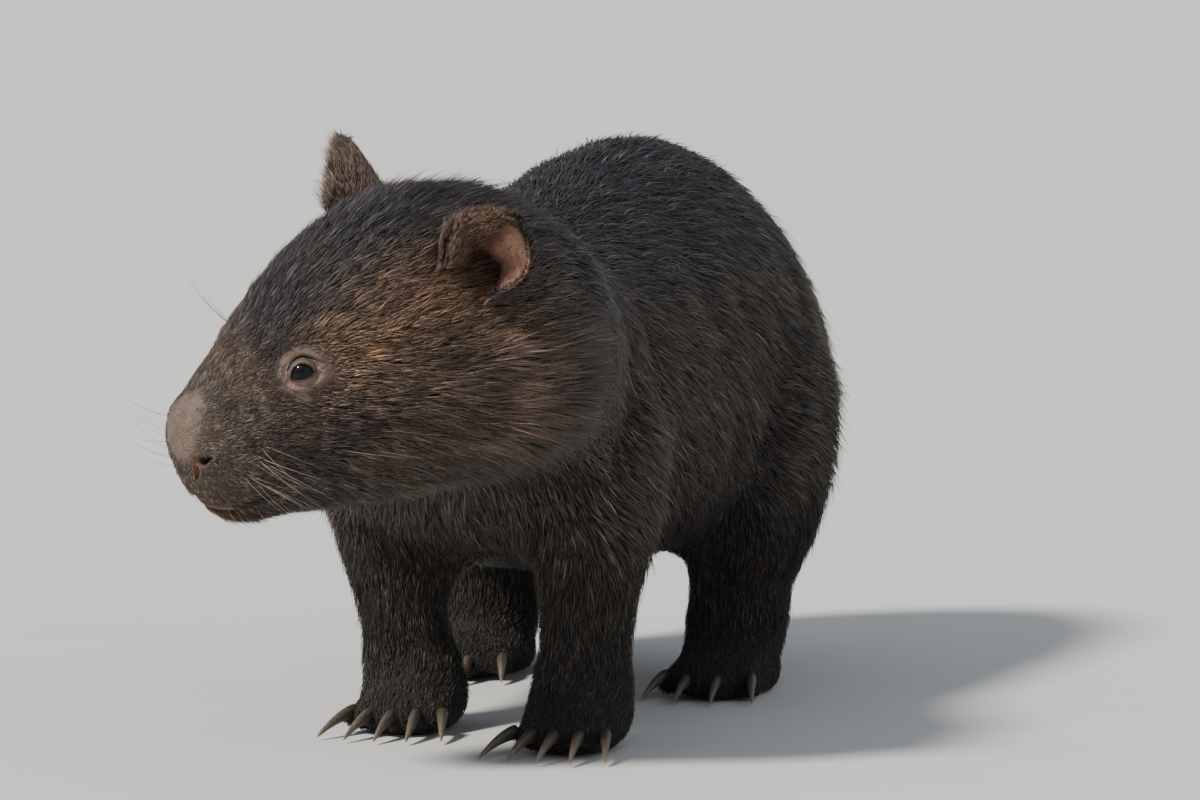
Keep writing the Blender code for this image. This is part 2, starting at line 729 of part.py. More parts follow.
def ear(side):
    """A cupped leaf: arcs round the ear's axis, open to the front and side, that close in to a blunt tip."""
    axis = Vector((EAR_AXIS[0], EAR_AXIS[1] * side, EAR_AXIS[2])).normalized()
    facing = Vector((EAR_FACING[0], EAR_FACING[1] * side, EAR_FACING[2]))
    facing = (facing - axis * facing.dot(axis)).normalized()
    across = axis.cross(facing)
    root = Vector((EAR_ROOT[0], EAR_ROOT[1] * side, EAR_ROOT[2])) * CM
    points, faces = [], []
    for i in range(EAR_ROWS):
        t = i / (EAR_ROWS - 1)
        width = EAR_RADIUS * max(1 - t**2.2, 0.06) ** 0.6 * (0.86 + 0.30 * math.sin(math.pi * t))
        depth = EAR_RADIUS * (0.78 * (1 - t) ** 0.8 + 0.10)
        wrap = EAR_WRAP_ROOT + (EAR_WRAP_TIP - EAR_WRAP_ROOT) * t
        for j in range(EAR_COLUMNS):
            a = wrap * (2 * j / (EAR_COLUMNS - 1) - 1)
            back = facing * (-math.cos(a) * depth) + facing * (-EAR_LEAN * t)
            points.append(root + axis * (EAR_LENGTH * t) + back + across * (math.sin(a) * width))
    for i in range(EAR_ROWS - 1):
        for j in range(EAR_COLUMNS - 1):
            k = i * EAR_COLUMNS + j
            faces.append((k, k + 1, k + EAR_COLUMNS + 1, k + EAR_COLUMNS))
    leaf = mesh_object("leaf", points, faces)
    wall = leaf.modifiers.new("wall", "SOLIDIFY")
    wall.thickness = EAR_THICKNESS
    wall.offset = 0
    made = settled(leaf)
    face_outwards(made)
    made.data.transform(head_place())
    return made


def tail():
    points, radii = [], []
    for t in np.linspace(0, 1, TAIL_RINGS):
        points.append(Vector(TAIL_ROOT) + Vector((-TAIL_LENGTH * t, 0, -TAIL_DROOP * t**2)))
        radii.append(TAIL_RADIUS * (1 - TAIL_TAPER * t**2))
    return tube("tail", points, radii, sides=2)


def centre_over_floor():
    """Moves every node so that the whole box's middle lies over the origin, with the soles at z = 0."""
    nodes = bpy.data.collections["wombat"].objects
    corners = np.array([vert.co for node in nodes for vert in node.data.vertices])
    middle = (corners.min(axis=0) + corners.max(axis=0)) / 2
    for node in nodes:
        node.data.transform(Matrix.Translation((-middle[0], -middle[1], 0)))


def main():
    start_scene()
    bpy.context.scene.collection.children.link(bpy.data.collections.new("wombat"))
    cast = whole_cast()
    plain_head = settled(loft("plain_head", head_surface(HEAD_RINGS, HEAD_AROUND)))
    plain_head = sliced(plain_head, (HEAD_PLANE, 0, 0), (-1, 0, 0))
    plain_head.data.transform(head_place())
    room = grown(plain_head, "room")
    bpy.data.objects.remove(plain_head, do_unlink=True)
    cast = combined(cast, [room], "DIFFERENCE")
    cast = part_legs(cast)
    way = Vector((math.cos(NECK_CUT_TURN), math.sin(NECK_CUT_TURN), 0))
    neck_part = sliced(copy_of(cast, "neck"), Vector(NECK_CUT) + way * GAP / 2, -way)
    cast = sliced(cast, Vector(NECK_CUT) - way * GAP / 2, way)
    finish(neck_part, "neck", COAT)
    tail_part = combined(tail(), [grown(cast, "against")], "DIFFERENCE")
    finish(tail_part, "tail", COAT)
    finish(cast, "torso", COAT)
    head_part, centres = head()
    for side, word in ((1, "left"), (-1, "right")):
        ear_part = combined(ear(side), [grown(head_part, "against")], "DIFFERENCE")
        finish(ear_part, f"ear_{word}", EAR_SKIN)
    finish(head_part, "head", COAT_BROWN)
    eyes(centres)
    claws()
    centre_over_floor()


main()
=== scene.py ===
# %% [markdown]
# # A bare-nosed wombat, in its coat
# The animal stands on a pale floor with its head turned to its right and its nose low.
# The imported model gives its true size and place, and this scene gives it skin, eyes, claws, whiskers and fur.
# Everything is in metres, +Z is up, +X runs along the trunk to the head, and +Y is the animal's left.
# Most shapes here are surfaces of two parameters, worked out as whole arrays.

import math

import bmesh
import bpy
import numpy as np
from mathutils import Matrix, Vector


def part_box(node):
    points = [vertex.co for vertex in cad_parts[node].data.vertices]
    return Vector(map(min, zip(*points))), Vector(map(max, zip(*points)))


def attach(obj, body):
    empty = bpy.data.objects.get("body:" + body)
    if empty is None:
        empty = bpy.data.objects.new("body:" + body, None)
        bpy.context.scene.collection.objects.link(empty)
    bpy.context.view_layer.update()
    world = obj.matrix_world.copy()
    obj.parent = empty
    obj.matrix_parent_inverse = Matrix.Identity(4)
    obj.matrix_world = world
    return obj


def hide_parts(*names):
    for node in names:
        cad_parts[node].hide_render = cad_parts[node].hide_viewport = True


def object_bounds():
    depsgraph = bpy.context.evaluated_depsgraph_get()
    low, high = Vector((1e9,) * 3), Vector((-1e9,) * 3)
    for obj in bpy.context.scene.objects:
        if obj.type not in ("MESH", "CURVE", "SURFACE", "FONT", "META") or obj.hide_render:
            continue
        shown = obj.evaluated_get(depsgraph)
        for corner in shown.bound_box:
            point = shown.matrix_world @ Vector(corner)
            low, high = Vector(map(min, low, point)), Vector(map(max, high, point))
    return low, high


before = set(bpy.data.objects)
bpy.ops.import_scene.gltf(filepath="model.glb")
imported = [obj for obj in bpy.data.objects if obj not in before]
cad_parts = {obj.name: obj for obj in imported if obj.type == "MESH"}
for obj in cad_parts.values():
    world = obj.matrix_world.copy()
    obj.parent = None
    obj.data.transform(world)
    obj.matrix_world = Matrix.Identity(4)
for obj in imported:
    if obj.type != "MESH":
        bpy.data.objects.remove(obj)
cad_low, cad_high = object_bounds()
CM = 0.01
MM = 0.001
rng = np.random.default_rng(41)
print("packed model", [round(v, 3) for v in cad_high - cad_low])

# %% [markdown]
# ## Sizes
# A wombat is a barrel on short legs. Its trunk is given by stations from the rump to the chest,
# and its head by stations from inside the neck to the nose, in centimetres in a frame of its own.
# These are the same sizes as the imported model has, so the skin can follow it from inside.

# %% Sizes of the trunk and neck
BOX_MIDDLE = (0.030486, 0.000173)  # the trunk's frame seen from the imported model's, along and aside
TRUNK_STATIONS = (  # along, half width, top, bottom
    (-0.320, 0.020, 0.206, 0.170),
    (-0.314, 0.056, 0.246, 0.128),
    (-0.292, 0.090, 0.284, 0.103),
    (-0.236, 0.110, 0.312, 0.085),
    (-0.165, 0.118, 0.323, 0.077),
    (-0.070, 0.118, 0.316, 0.075),
    (0.035, 0.115, 0.299, 0.080),
    (0.115, 0.108, 0.290, 0.092),
    (0.180, 0.095, 0.280, 0.112),
    (0.224, 0.062, 0.262, 0.144),
)
TRUNK_TOP_SQUARE, TRUNK_BELLY_SQUARE, TRUNK_WIDEST = 1.76, 2.4, 0.40
CHEST, CHEST_HALF_WIDTH, CHEST_HALF_HEIGHT = (0.125, 0.0, 0.196), 0.100, 0.095
NECK_FIT = 0.93
print("trunk of", len(TRUNK_STATIONS), "stations")

# %% Sizes of the head
HEAD_ORIGIN = (0.310, 0.012, 0.300)
HEAD_TURN, HEAD_NOD, HEAD_ROLL = -45.5, 15.4, -9.8  # degrees
HEAD_STATIONS = (  # centimetres: along, half width, top, bottom
    (-9.0, 5.2, -2.0, -11.0),
    (-7.0, 7.2, -0.8, -13.0),
    (-3.6, 8.0, 1.0, -14.0),
    (0.0, 8.3, 2.1, -14.4),
    (4.0, 7.8, 1.5, -14.2),
    (7.4, 6.5, -0.1, -13.8),
    (10.2, 5.1, -2.0, -13.3),
    (12.5, 4.25, -3.6, -12.8),
    (14.2, 3.55, -4.9, -12.2),
    (15.3, 2.8, -5.6, -11.0),
    (15.9, 1.7, -6.5, -9.8),
    (16.1, 0.7, -7.3, -8.7),
)
HEAD_TOP_SQUARE, HEAD_JAW_SQUARE, JAW_NARROWING = 2.05, 2.35, 0.28
HEAD_SWELLINGS = (  # centre in centimetres, height, spread
    ((9.2, 4.6, -1.9), 0.35, 1.7),
    ((10.1, 5.3, -4.2), -0.35, 1.2),
    ((2.0, 7.6, -7.5), 0.45, 3.2),
    ((14.2, 3.4, -9.2), 0.40, 1.5),
    ((15.6, 1.6, -5.8), 0.25, 1.2),
    ((13.4, 0.9, -12.3), 0.20, 1.4),
)

# %% Sizes of the legs, feet, claws and tail
SHOULDERS, HIPS = 0.150, -0.165
FORELEG_ROUNDS = (  # along, aside, height, fore-and-aft radius, sideways radius
    (0.000, 0.050, 0.220, 0.058, 0.040),
    (-0.004, 0.068, 0.175, 0.060, 0.045),
    (-0.008, 0.071, 0.130, 0.048, 0.039),
    (-0.004, 0.068, 0.090, 0.036, 0.034),
    (0.000, 0.066, 0.055, 0.030, 0.031),
    (0.000, 0.064, 0.026, 0.032, 0.033),
)
HINDLEG_ROUNDS = (
    (0.000, 0.058, 0.220, 0.080, 0.050),
    (0.006, 0.082, 0.176, 0.088, 0.052),
    (0.010, 0.088, 0.132, 0.078, 0.051),
    (0.004, 0.088, 0.094, 0.058, 0.044),
    (-0.010, 0.084, 0.060, 0.042, 0.034),
    (-0.014, 0.082, 0.028, 0.036, 0.032),
)
FOOT_STANDS = {
    "foreleg_left": (0.172, 0.068),
    "foreleg_right": (0.112, -0.044),
    "hindleg_left": (-0.090, 0.083),
    "hindleg_right": (-0.140, -0.082),
}
# half length, half width, height, how far ahead of the leg
FORE_SOLE, HIND_SOLE = (0.050, 0.034, 0.034, 0.010), (0.062, 0.033, 0.032, 0.008)
TOE_RADIUS, TOE_LENGTH, TOE_FAN, TOE_SETBACK = 0.0105, 0.030, math.radians(16.0), 0.008
FORE_CLAW, HIND_CLAW, CLAW_RADIUS = 0.030, 0.021, 0.0042
CLAW_ROOT_HEIGHT, CLAW_TIP_HEIGHT = 0.0125, 0.0020
TAIL_ROOT, TAIL_LENGTH, TAIL_RADIUS = (-0.300, 0.0, 0.176), 0.044, 0.013

print("stations", len(TRUNK_STATIONS), "of the trunk,", len(HEAD_STATIONS), "of the head")

# %% [markdown]
# The face is placed in the head's own frame. A real wombat has small eyes on the sides of its head,
# a bare nose pad over two comma nostrils, and short ears. Lines of the face are given by a few points
# and a width at each, which is easy to measure and to change.

# %% Sizes of the face and ears, in the head's frame
EYE_AIM = (0.34, 0.89, 0.30)
EYE_RADIUS = 0.0085
MOUTH_PIVOT, MOUTH_HEIGHT, MOUTH_RISE = 10.4, -11.05, 0.60
NOSTRIL_LINE = ((2.62, -7.90), (2.38, -8.00), (2.03, -8.16), (1.66, -8.34))  # aside and up
NOSTRIL_WIDTHS = (0.4, 1.3, 2.4, 2.7)  # millimetres either side of the line
FOSSA_LINE = ((1.42, -8.20), (1.42, -8.75), (1.05, -9.45))  # the groove under the nostril, down to the lip
FOSSA_WIDTHS = (3.4, 3.1, 0.9)
PAD_MIDDLE, PAD_WIDTH, PAD_HEIGHT = -6.9, 1.55, 1.55  # the bare nose pad, an oval seen from the front
EAR_ROOT, EAR_AXIS, EAR_FACING = (-0.1, 6.5, -1.2), (-1.3, 3.6, 3.5), (0.80, 0.62, -0.15)
EAR_LENGTH, EAR_RADIUS, EAR_LEAN = 0.0445, 0.0208, 0.004
EAR_WRAP_ROOT, EAR_WRAP_TIP = math.radians(125.0), math.radians(70.0)
EAR_START = -0.26  # how far the leaf reaches into the head, against its length
print("eye radius", EYE_RADIUS, "ear length", EAR_LENGTH)

# %% [markdown]
# ## The camera and the light
# The photograph was taken from the animal's front left, a little above its eyes, through a long lens.
# The floor is one wide pale plane that runs past the top of the picture.
# A broad soft sun from the upper left models the head, and an even pale sky fills the shade.

# %% Camera
AZIMUTH, ELEVATION = math.radians(106.0), math.radians(5.5)
DISTANCE, SENSOR, SIGHT = 4.6, 36.0, 200.0  # metres, millimetres, metres
FOCAL_PIXELS, WIDTH_PIXELS, HEIGHT_PIXELS = 8556.0, 1200, 800
ANCHOR_PIXEL = (408.7, 223.3)  # where the head's origin lies in the photograph
head_origin = np.array(HEAD_ORIGIN) - (*BOX_MIDDLE, 0.0)


def aimed(piece, way):
    """Puts a camera or lamp in the scene and points its -Z along a way."""
    bpy.context.scene.collection.objects.link(piece)
    piece.rotation_mode = "QUATERNION"
    piece.rotation_quaternion = Vector(way).to_track_quat("-Z", "Y")
    return piece


def place_camera():
    """Camera = anchor + back * distance - the anchor's offset in the picture, at its distance."""
    level = math.cos(ELEVATION)
    back = np.array((math.sin(AZIMUTH) * level, -math.cos(AZIMUTH) * level, math.sin(ELEVATION)))
    right = np.cross(-back, (0, 0, 1))
    right /= np.linalg.norm(right)
    up = np.cross(right, -back)
    across = (ANCHOR_PIXEL[0] - WIDTH_PIXELS / 2) / FOCAL_PIXELS * DISTANCE
    above = (HEIGHT_PIXELS / 2 - ANCHOR_PIXEL[1]) / FOCAL_PIXELS * DISTANCE
    camera = aimed(bpy.data.objects.new("camera", bpy.data.cameras.new("camera")), -back)
    camera.data.sensor_width = SENSOR
    camera.data.lens = FOCAL_PIXELS / WIDTH_PIXELS * SENSOR
    camera.data.clip_end = SIGHT
    camera.location = head_origin + back * DISTANCE - right * across - up * above
    bpy.context.scene.camera = camera
    return right, back


view_right, view_back = place_camera()
print("camera", [round(v, 3) for v in bpy.context.scene.camera.location])

# %% Lights
LIGHTS = (  # its place to the picture's right, towards the camera and up, then strength, spread and colour
    ("key", (-1.0, 0.75, 1.15), 5.0, 9.0, (1.0, 0.96, 0.90)),
    ("fill", (0.9, 1.0, 0.5), 0.40, 60.0, (0.92, 0.96, 1.0)),
)
SKY_COLOUR, SKY_STRENGTH = (0.86, 0.92, 1.0, 1.0), 0.50
for name, place, strength, spread, colour in LIGHTS:
    way = -(place[0] * view_right + place[1] * view_back + place[2] * np.array((0, 0, 1)))
    lamp = aimed(bpy.data.objects.new(name, bpy.data.lights.new(name, "SUN")), way)
    lamp.data.energy, lamp.data.angle, lamp.data.color = strength, math.radians(spread), colour
bpy.context.scene.world = bpy.data.worlds.new("sky")
bpy.context.scene.world.use_nodes = True
background = bpy.context.scene.world.node_tree.nodes["Background"]
background.inputs["Color"].default_value = SKY_COLOUR
background.inputs["Strength"].default_value = SKY_STRENGTH
print("lights", [light[0] for light in LIGHTS])

# %% [markdown]
# ## Small tools
# Each tool is a formula on whole arrays. A smooth step blends regions, a sum of slow waves stands in for
# the uneven growth of living hair, and relaxing pulls each point to the middle of its neighbours,
# as a potter's sponge does.


# %% Formulas
SIDES = ((1, "left"), (-1, "right"))


def smooth(low, high, value):
    """0 below low and 1 above high, with t*t*(3 - 2t) between."""
    t = np.clip((value - low) / (high - low), 0, 1)
    return t * t * (3 - 2 * t)


def unit(vectors):
    """Each row divided by its length."""
    return vectors / np.maximum(np.linalg.norm(vectors, axis=-1, keepdims=True), 1e-12)


def power(value, exponent):
    """|value| to the exponent, with the value's own sign."""
    return np.sign(value) * np.abs(value) ** exponent


def mirrored(place, side):
    """A place or way of the left half, or its mirror image on the right."""
    return np.array(place) * (1, side, 1)


def circle(count):
    """Even angles of one whole turn."""
    return np.linspace(0, 2 * math.pi, count, endpoint=False)


def hermite(t, start, slope, end, end_slope):
    """(2t^3 - 3t^2 + 1) start + (t^3 - 2t^2 + t) slope + (3t^2 - 2t^3) end + (t^3 - t^2) end slope."""
    return (
        (2 * t**3 - 3 * t**2 + 1) * start
        + (t**3 - 2 * t**2 + t) * slope
        + (3 * t**2 - 2 * t**3) * end
        + (t**3 - t**2) * end_slope
    )


def waves(points, size, seed):
    """The mean of seven plane waves of about one size in mixed directions, from -1 to 1."""
    mixed = np.random.default_rng(seed)
    total = np.zeros(len(points))
    for _ in range(7):
        way = unit(mixed.normal(size=3)) * (2 * math.pi / size * mixed.uniform(0.6, 1.5))
        total += np.sin(points @ way + mixed.uniform(0, 2 * math.pi))
    return total / 7 * 1.6


# %% Curves and closed shapes
def curve_through(values, at):
    """A Hermite curve through evenly spaced values, each slope set by its two neighbours."""
    values = np.asarray(values, float)
    slopes = np.gradient(values, axis=0)
    low = np.clip(np.floor(at).astype(int), 0, len(values) - 2)
    t = (np.asarray(at) - low)[:, None]
    return hermite(t, values[low], slopes[low], values[low + 1], slopes[low + 1])


def grid_faces(rows, around):
    """Quads between rings of points, ring after ring, the last of each ring joined to its first."""
    i, j = np.meshgrid(np.arange(rows - 1), np.arange(around), indexing="ij")
    k, here, next_row = (j + 1) % around, i * around, (i + 1) * around
    return np.stack([here + j, here + k, next_row + k, next_row + j], -1).reshape(-1, 4)


def closed_loft(rings):
    """Points and outward triangles of a closed body through rings, an array of (rings, around, 3)."""
    rows, around = rings.shape[:2]
    points = np.vstack([rings.reshape(-1, 3), rings[0].mean(0), rings[-1].mean(0)])
    quads = grid_faces(rows, around)
    j = np.arange(around)
    k = (j + 1) % around
    last = (rows - 1) * around
    first_cap = np.stack([np.full(around, rows * around), k, j], 1)
    last_cap = np.stack([np.full(around, rows * around + 1), last + j, last + k], 1)
    triangles = np.vstack([quads[:, [0, 1, 2]], quads[:, [0, 2, 3]], first_cap, last_cap])
    a, b, c = (points[triangles[:, n]] for n in range(3))
    if np.einsum("ij,ij->", a, np.cross(b, c)) < 0:
        triangles = triangles[:, ::-1]
    return points, triangles


# %% Meshes from arrays and back
def merged(bodies):
    """Several (points, triangles) pairs as one."""
    start, points, triangles = 0, [], []
    for some_points, some_triangles in bodies:
        points.append(some_points)
        triangles.append(some_triangles + start)
        start += len(some_points)
    return np.vstack(points), np.vstack(triangles)


def mesh_piece(name, points, triangles, rounded=True):
    """A mesh object made straight from arrays."""
    mesh = bpy.data.meshes.new(name)
    mesh.vertices.add(len(points))
    mesh.vertices.foreach_set("co", np.asarray(points, np.float32).ravel())
    mesh.loops.add(triangles.size)
    mesh.loops.foreach_set("vertex_index", np.asarray(triangles, np.int32).ravel())
    mesh.polygons.add(len(triangles))
    mesh.polygons.foreach_set("loop_start", np.arange(0, triangles.size, 3, dtype=np.int32))
    mesh.polygons.foreach_set("use_smooth", np.full(len(triangles), rounded))
    mesh.update(calc_edges=True)
    piece = bpy.data.objects.new(name, mesh)
    bpy.context.scene.collection.objects.link(piece)
    return piece


def arrays_of(mesh):
    """Points, triangles and vertex normals of a mesh."""
    mesh.calc_loop_triangles()
    points, normals = (np.empty(len(mesh.vertices) * 3, np.float32) for _ in range(2))
    mesh.vertices.foreach_get("co", points)
    mesh.vertices.foreach_get("normal", normals)
    triangles = np.empty(len(mesh.loop_triangles) * 3, np.int32)
    mesh.loop_triangles.foreach_get("vertices", triangles)
    return points.reshape(-1, 3).astype(float), triangles.reshape(-1, 3), normals.reshape(-1, 3).astype(float)


# %% Relaxing and normals
def relax(points, edges, rounds, share):
    """Moves each point by share of the way to the mean of its neighbours, round after round."""
    a, b = edges.T
    count = len(points)
    degree = np.maximum(np.bincount(a, minlength=count) + np.bincount(b, minlength=count), 1)
    for _ in range(rounds):
        total = [np.bincount(a, points[b, k], count) + np.bincount(b, points[a, k], count) for k in range(3)]
        points = points + share[:, None] * (np.stack(total, 1) / degree[:, None] - points)
    return points


def point_normals(points, triangles):
    """The area-weighted mean of the normals of the triangles round each point."""
    a, b, c = (points[triangles[:, n]] for n in range(3))
    flat = np.cross(b - a, c - a)
    total = [sum(np.bincount(triangles[:, n], flat[:, k], len(points)) for n in range(3)) for k in range(3)]
    return unit(np.stack(total, 1))


# %% [markdown]
# ## Places on the body
# The head has its own frame, turned, nodded and rolled against the trunk.
# Everything about the face is worked out there, in centimetres. A head weight runs from 0 on the neck to 1
# on the head, and a leg weight from 0 on the trunk to 1 low on the legs.


# %% Frames and region weights
ELBOWS = (0.085, 0.15)  # heights between which the trunk turns to leg
WRISTS = (0.034, 0.060)  # and the leg to foot
HEAD_MIDDLE, HEAD_REACH = (2.5, 0, -6.2), (15.5, 9.6, 9.6)  # centimetres, an ellipsoid round the head


def head_turn():
    """The head's axes as columns: ahead, left and up, turned, then nodded, then rolled."""
    turns = zip((HEAD_TURN, HEAD_NOD, HEAD_ROLL), "ZYX")
    turn, nod, roll = (Matrix.Rotation(math.radians(angle), 3, axis) for angle, axis in turns)
    return np.array(turn @ nod @ roll)


HEAD_AXES = head_turn()
print("the nose points along", np.round(HEAD_AXES[:, 0], 3).tolist())


def to_head(points):
    """Centimetres along the head's own ahead, left and up."""
    return (points - head_origin) @ HEAD_AXES / CM


def from_head(points):
    """The way back: metres in the model's frame."""
    return np.asarray(points) * CM @ HEAD_AXES.T + head_origin


def head_weight(h):
    """1 inside an ellipsoid round the head, falling to 0 at 1.28 of its size, and fading into the neck."""
    away = np.linalg.norm((h - HEAD_MIDDLE) / HEAD_REACH, axis=1)
    return (1 - smooth(1.02, 1.28, away)) * smooth(-7.5, -3.5, h[:, 0])


def leg_weight(points):
    """1 low on the legs, 0 from the height of the elbows."""
    return 1 - smooth(*ELBOWS, points[:, 2])


def foot_weight(points):
    """1 on the feet, 0 above the wrists."""
    return 1 - smooth(*WRISTS, points[:, 2])


def by_head(h, face, body):
    """face on the head and body off it, blended by the head weight."""
    head = head_weight(h)
    return face * head + body * (1 - head)


# %% The eyes' places
EYE_CENTRES = {side: np.array(sum(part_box(f"eye_{word}"), Vector((0, 0, 0)))) / 2 for side, word in SIDES}


def eye_frame(side):
    """The eyeball's centre and the ways out, forward and up from it."""
    out = unit(mirrored(EYE_AIM, side))
    forward = unit(np.array((1.0, 0, 0)) - out * out[0])
    up = np.cross(forward, out) * side
    return EYE_CENTRES[side], HEAD_AXES @ out, HEAD_AXES @ forward, HEAD_AXES @ up


def around_eye(points, side):
    """Millimetres forward, up and out from one eye's centre."""
    centre, out, forward, up = eye_frame(side)
    away = (points - centre) / MM
    return away @ forward, away @ up, away @ out


def eye_distance(points):
    """Millimetres from the nearer eye's centre."""
    return np.minimum(*(np.linalg.norm((points - centre) / MM, axis=1) for centre in EYE_CENTRES.values()))


print("eyes", round(float(np.linalg.norm(EYE_CENTRES[1] - EYE_CENTRES[-1])) / MM, 1), "mm apart")

# %% [markdown]
# ## The body under the skin
# The flesh is lofted in parts, as an armature is padded: a barrel, a neck that turns, a wedge of a head,
# four legs, soles and toes, and the stub of a tail. The parts run into each other,
# and a remesh makes one closed surface of them.


# %% Trunk and head
def oval(middle, top, bottom, half_width, angle, top_square, belly_square):
    """Across = w |cos|^(2/s), up = reach |sin|^(2/s), with a squareness s for each half, upper and lower."""
    upper = np.sin(angle) > 0
    square = np.where(upper, top_square, belly_square)
    across = half_width[:, None] * power(np.cos(angle), 2 / square)
    reach = np.where(upper, (top - middle)[:, None], (middle - bottom)[:, None])
    return across, middle[:, None] + reach * power(np.sin(angle), 2 / square)


def trunk_rings(rings=60, around=80):
    """The trunk's ovals at each place along it."""
    at = np.linspace(0, len(TRUNK_STATIONS) - 1, rings)
    along, half_width, top, bottom = curve_through(TRUNK_STATIONS, at).T
    middle = bottom + TRUNK_WIDEST * (top - bottom)
    squares = TRUNK_TOP_SQUARE, TRUNK_BELLY_SQUARE
    across, height = oval(middle, top, bottom, half_width, circle(around), *squares)
    return np.stack([np.repeat(along[:, None], around, axis=1), across, height], axis=2)


def head_rings(rings=90, around=120):
    """Rings of the head in metres in its own frame, with its soft swellings."""
    at = np.linspace(0, len(HEAD_STATIONS) - 1, rings)
    along, half_width, top, bottom = (curve_through(HEAD_STATIONS, at) * CM).T
    angle = circle(around)
    middle = (top + bottom) / 2
    across, height = oval(middle, top, bottom, half_width, angle, HEAD_TOP_SQUARE, HEAD_JAW_SQUARE)
    upward = np.sin(angle)
    muzzle = np.clip(along / (16 * CM), 0, 1)[:, None]
    narrowing = 1 - JAW_NARROWING * muzzle * np.clip(-upward, 0, 1) + 0.05 * muzzle * np.clip(upward, 0, 1)
    points = np.stack([np.repeat(along[:, None], around, axis=1), across * narrowing, height], axis=2)
    outward = unit(points - np.stack([along, 0 * along, middle], axis=1)[:, None, :])
    for centre, height, spread in HEAD_SWELLINGS:
        for side, _ in SIDES:
            distance = np.linalg.norm(points - mirrored(centre, side) * CM, axis=2, keepdims=True)
            points = points + outward * height * CM * np.exp(-((distance / (spread * CM)) ** 2))
    return points


print("trunk and head of", trunk_rings().shape[:2], head_rings().shape[:2], "rings and points on each")

# %% Neck and legs
def neck_rings(rings=26, around=72):
    """Rings on a Hermite path from the chest to the head, turning from the trunk's way to the head's."""
    back = curve_through(HEAD_STATIONS, np.array([2.2]))[0] * CM
    start = np.array(CHEST)
    end = HEAD_AXES @ np.array((back[0], 0.0, (back[2] + back[3]) / 2)) + HEAD_ORIGIN
    ahead_start, side_start = np.array((1.0, 0, 0.05)), np.array((0.0, 1, 0))
    ahead_end, side_end = HEAD_AXES[:, 0], HEAD_AXES[:, 1]
    reach = np.linalg.norm(end - start)
    angle = circle(around)
    t = np.linspace(0, 1, rings)[:, None]
    middle = hermite(t, start, ahead_start * reach, end, ahead_end * reach)
    ahead = unit(ahead_start * (1 - t) + ahead_end * t)
    side = side_start * (1 - t) + side_end * t
    side = unit(side - ahead * np.sum(side * ahead, axis=1, keepdims=True))
    up = np.cross(ahead, side)
    wide = (CHEST_HALF_WIDTH * (1 - t) + back[1] * NECK_FIT * t)[:, :, None]
    high = (CHEST_HALF_HEIGHT * (1 - t) + (back[2] - back[3]) / 2 * NECK_FIT * t)[:, :, None]
    across = power(np.cos(angle), 2 / HEAD_JAW_SQUARE)[None, :, None]
    upward = power(np.sin(angle), 2 / HEAD_JAW_SQUARE)[None, :, None]
    return middle[:, None, :] + wide * across * side[:, None, :] + high * upward * up[:, None, :]


def leg_rings(name):
    """Level ovals down a leg that leans from its joint to where its foot stands."""
    fore = name.startswith("fore")
    rounds = FORELEG_ROUNDS if fore else HINDLEG_ROUNDS
    joint = SHOULDERS if fore else HIPS
    side = 1 if name.endswith("left") else -1
    stand, aside = FOOT_STANDS[name]
    made = curve_through(rounds, np.linspace(0, len(rounds) - 1, 18))
    lean = np.clip(1 - (made[:, 2] - rounds[-1][2]) / (rounds[0][2] - rounds[-1][2]), 0, 1)
    along = made[:, 0] + joint + (stand - joint) * lean
    across = side * made[:, 1] + (aside - side * rounds[-1][1]) * lean
    stack = np.stack([along, across, made[:, 2], made[:, 3], made[:, 4]], axis=1)
    first, last = stack[0].copy(), stack[-1].copy()
    first[2] += first[4] * 0.6
    first[3:] *= 0.55
    last[2] -= 0.006
    stack = np.vstack([first, stack, last])[:, :, None]
    angle = circle(40)
    x = stack[:, 0] + stack[:, 3] * np.cos(angle)
    y = stack[:, 1] + stack[:, 4] * np.sin(angle)
    return np.stack([x, y, np.repeat(stack[:, 2], len(angle), axis=1)], axis=2)


# %% Feet and tail
def ball_rings(centre, radii, turn=0.0, rows=20, around=28):
    """Rings of an ellipsoid turned about the upright, its poles left open for the loft to close."""
    polar = np.linspace(0, math.pi, rows + 2)[1:-1, None]
    angle = circle(around)
    x = np.sin(polar) * np.cos(angle) * radii[0]
    y = np.sin(polar) * np.sin(angle) * radii[1]
    z = np.cos(polar) * np.ones_like(angle) * radii[2]
    cos, sin = math.cos(turn), math.sin(turn)
    return np.stack([x * cos - y * sin, x * sin + y * cos, z], axis=2) + np.asarray(centre)


def toe_rows(name):
    """Where each toe ends, and the way it points: a fan across the front of the foot."""
    fore = name.startswith("fore")
    count = 5 if fore else 4
    half_length, half_width, _, ahead = FORE_SOLE if fore else HIND_SOLE
    stand, aside = FOOT_STANDS[name]
    across = (np.arange(count) - (count - 1) / 2) / ((count - 1) / 2)
    ahead = stand + ahead + half_length * (0.88 - 0.19 * across**2)
    spots = np.stack([ahead, aside + across * half_width * 0.80, 0 * across], 1)
    fan = across * TOE_FAN
    return spots, np.stack([np.cos(fan), np.sin(fan), 0 * fan], 1)


def foot_rings(name):
    """The sole's ellipsoid, and one long ellipsoid for each toe."""
    half_length, half_width, height, ahead = FORE_SOLE if name.startswith("fore") else HIND_SOLE
    stand, aside = FOOT_STANDS[name]
    found = [ball_rings((stand + ahead, aside, height * 0.36), (half_length, half_width, height * 0.62))]
    for spot, way in zip(*toe_rows(name)):
        middle = spot - way * TOE_SETBACK + (0, 0, TOE_RADIUS * 0.90)
        radii = (TOE_LENGTH / 2, TOE_RADIUS * 0.86, TOE_RADIUS)
        found.append(ball_rings(middle, radii, math.atan2(way[1], way[0]), 12, 16))
    return found


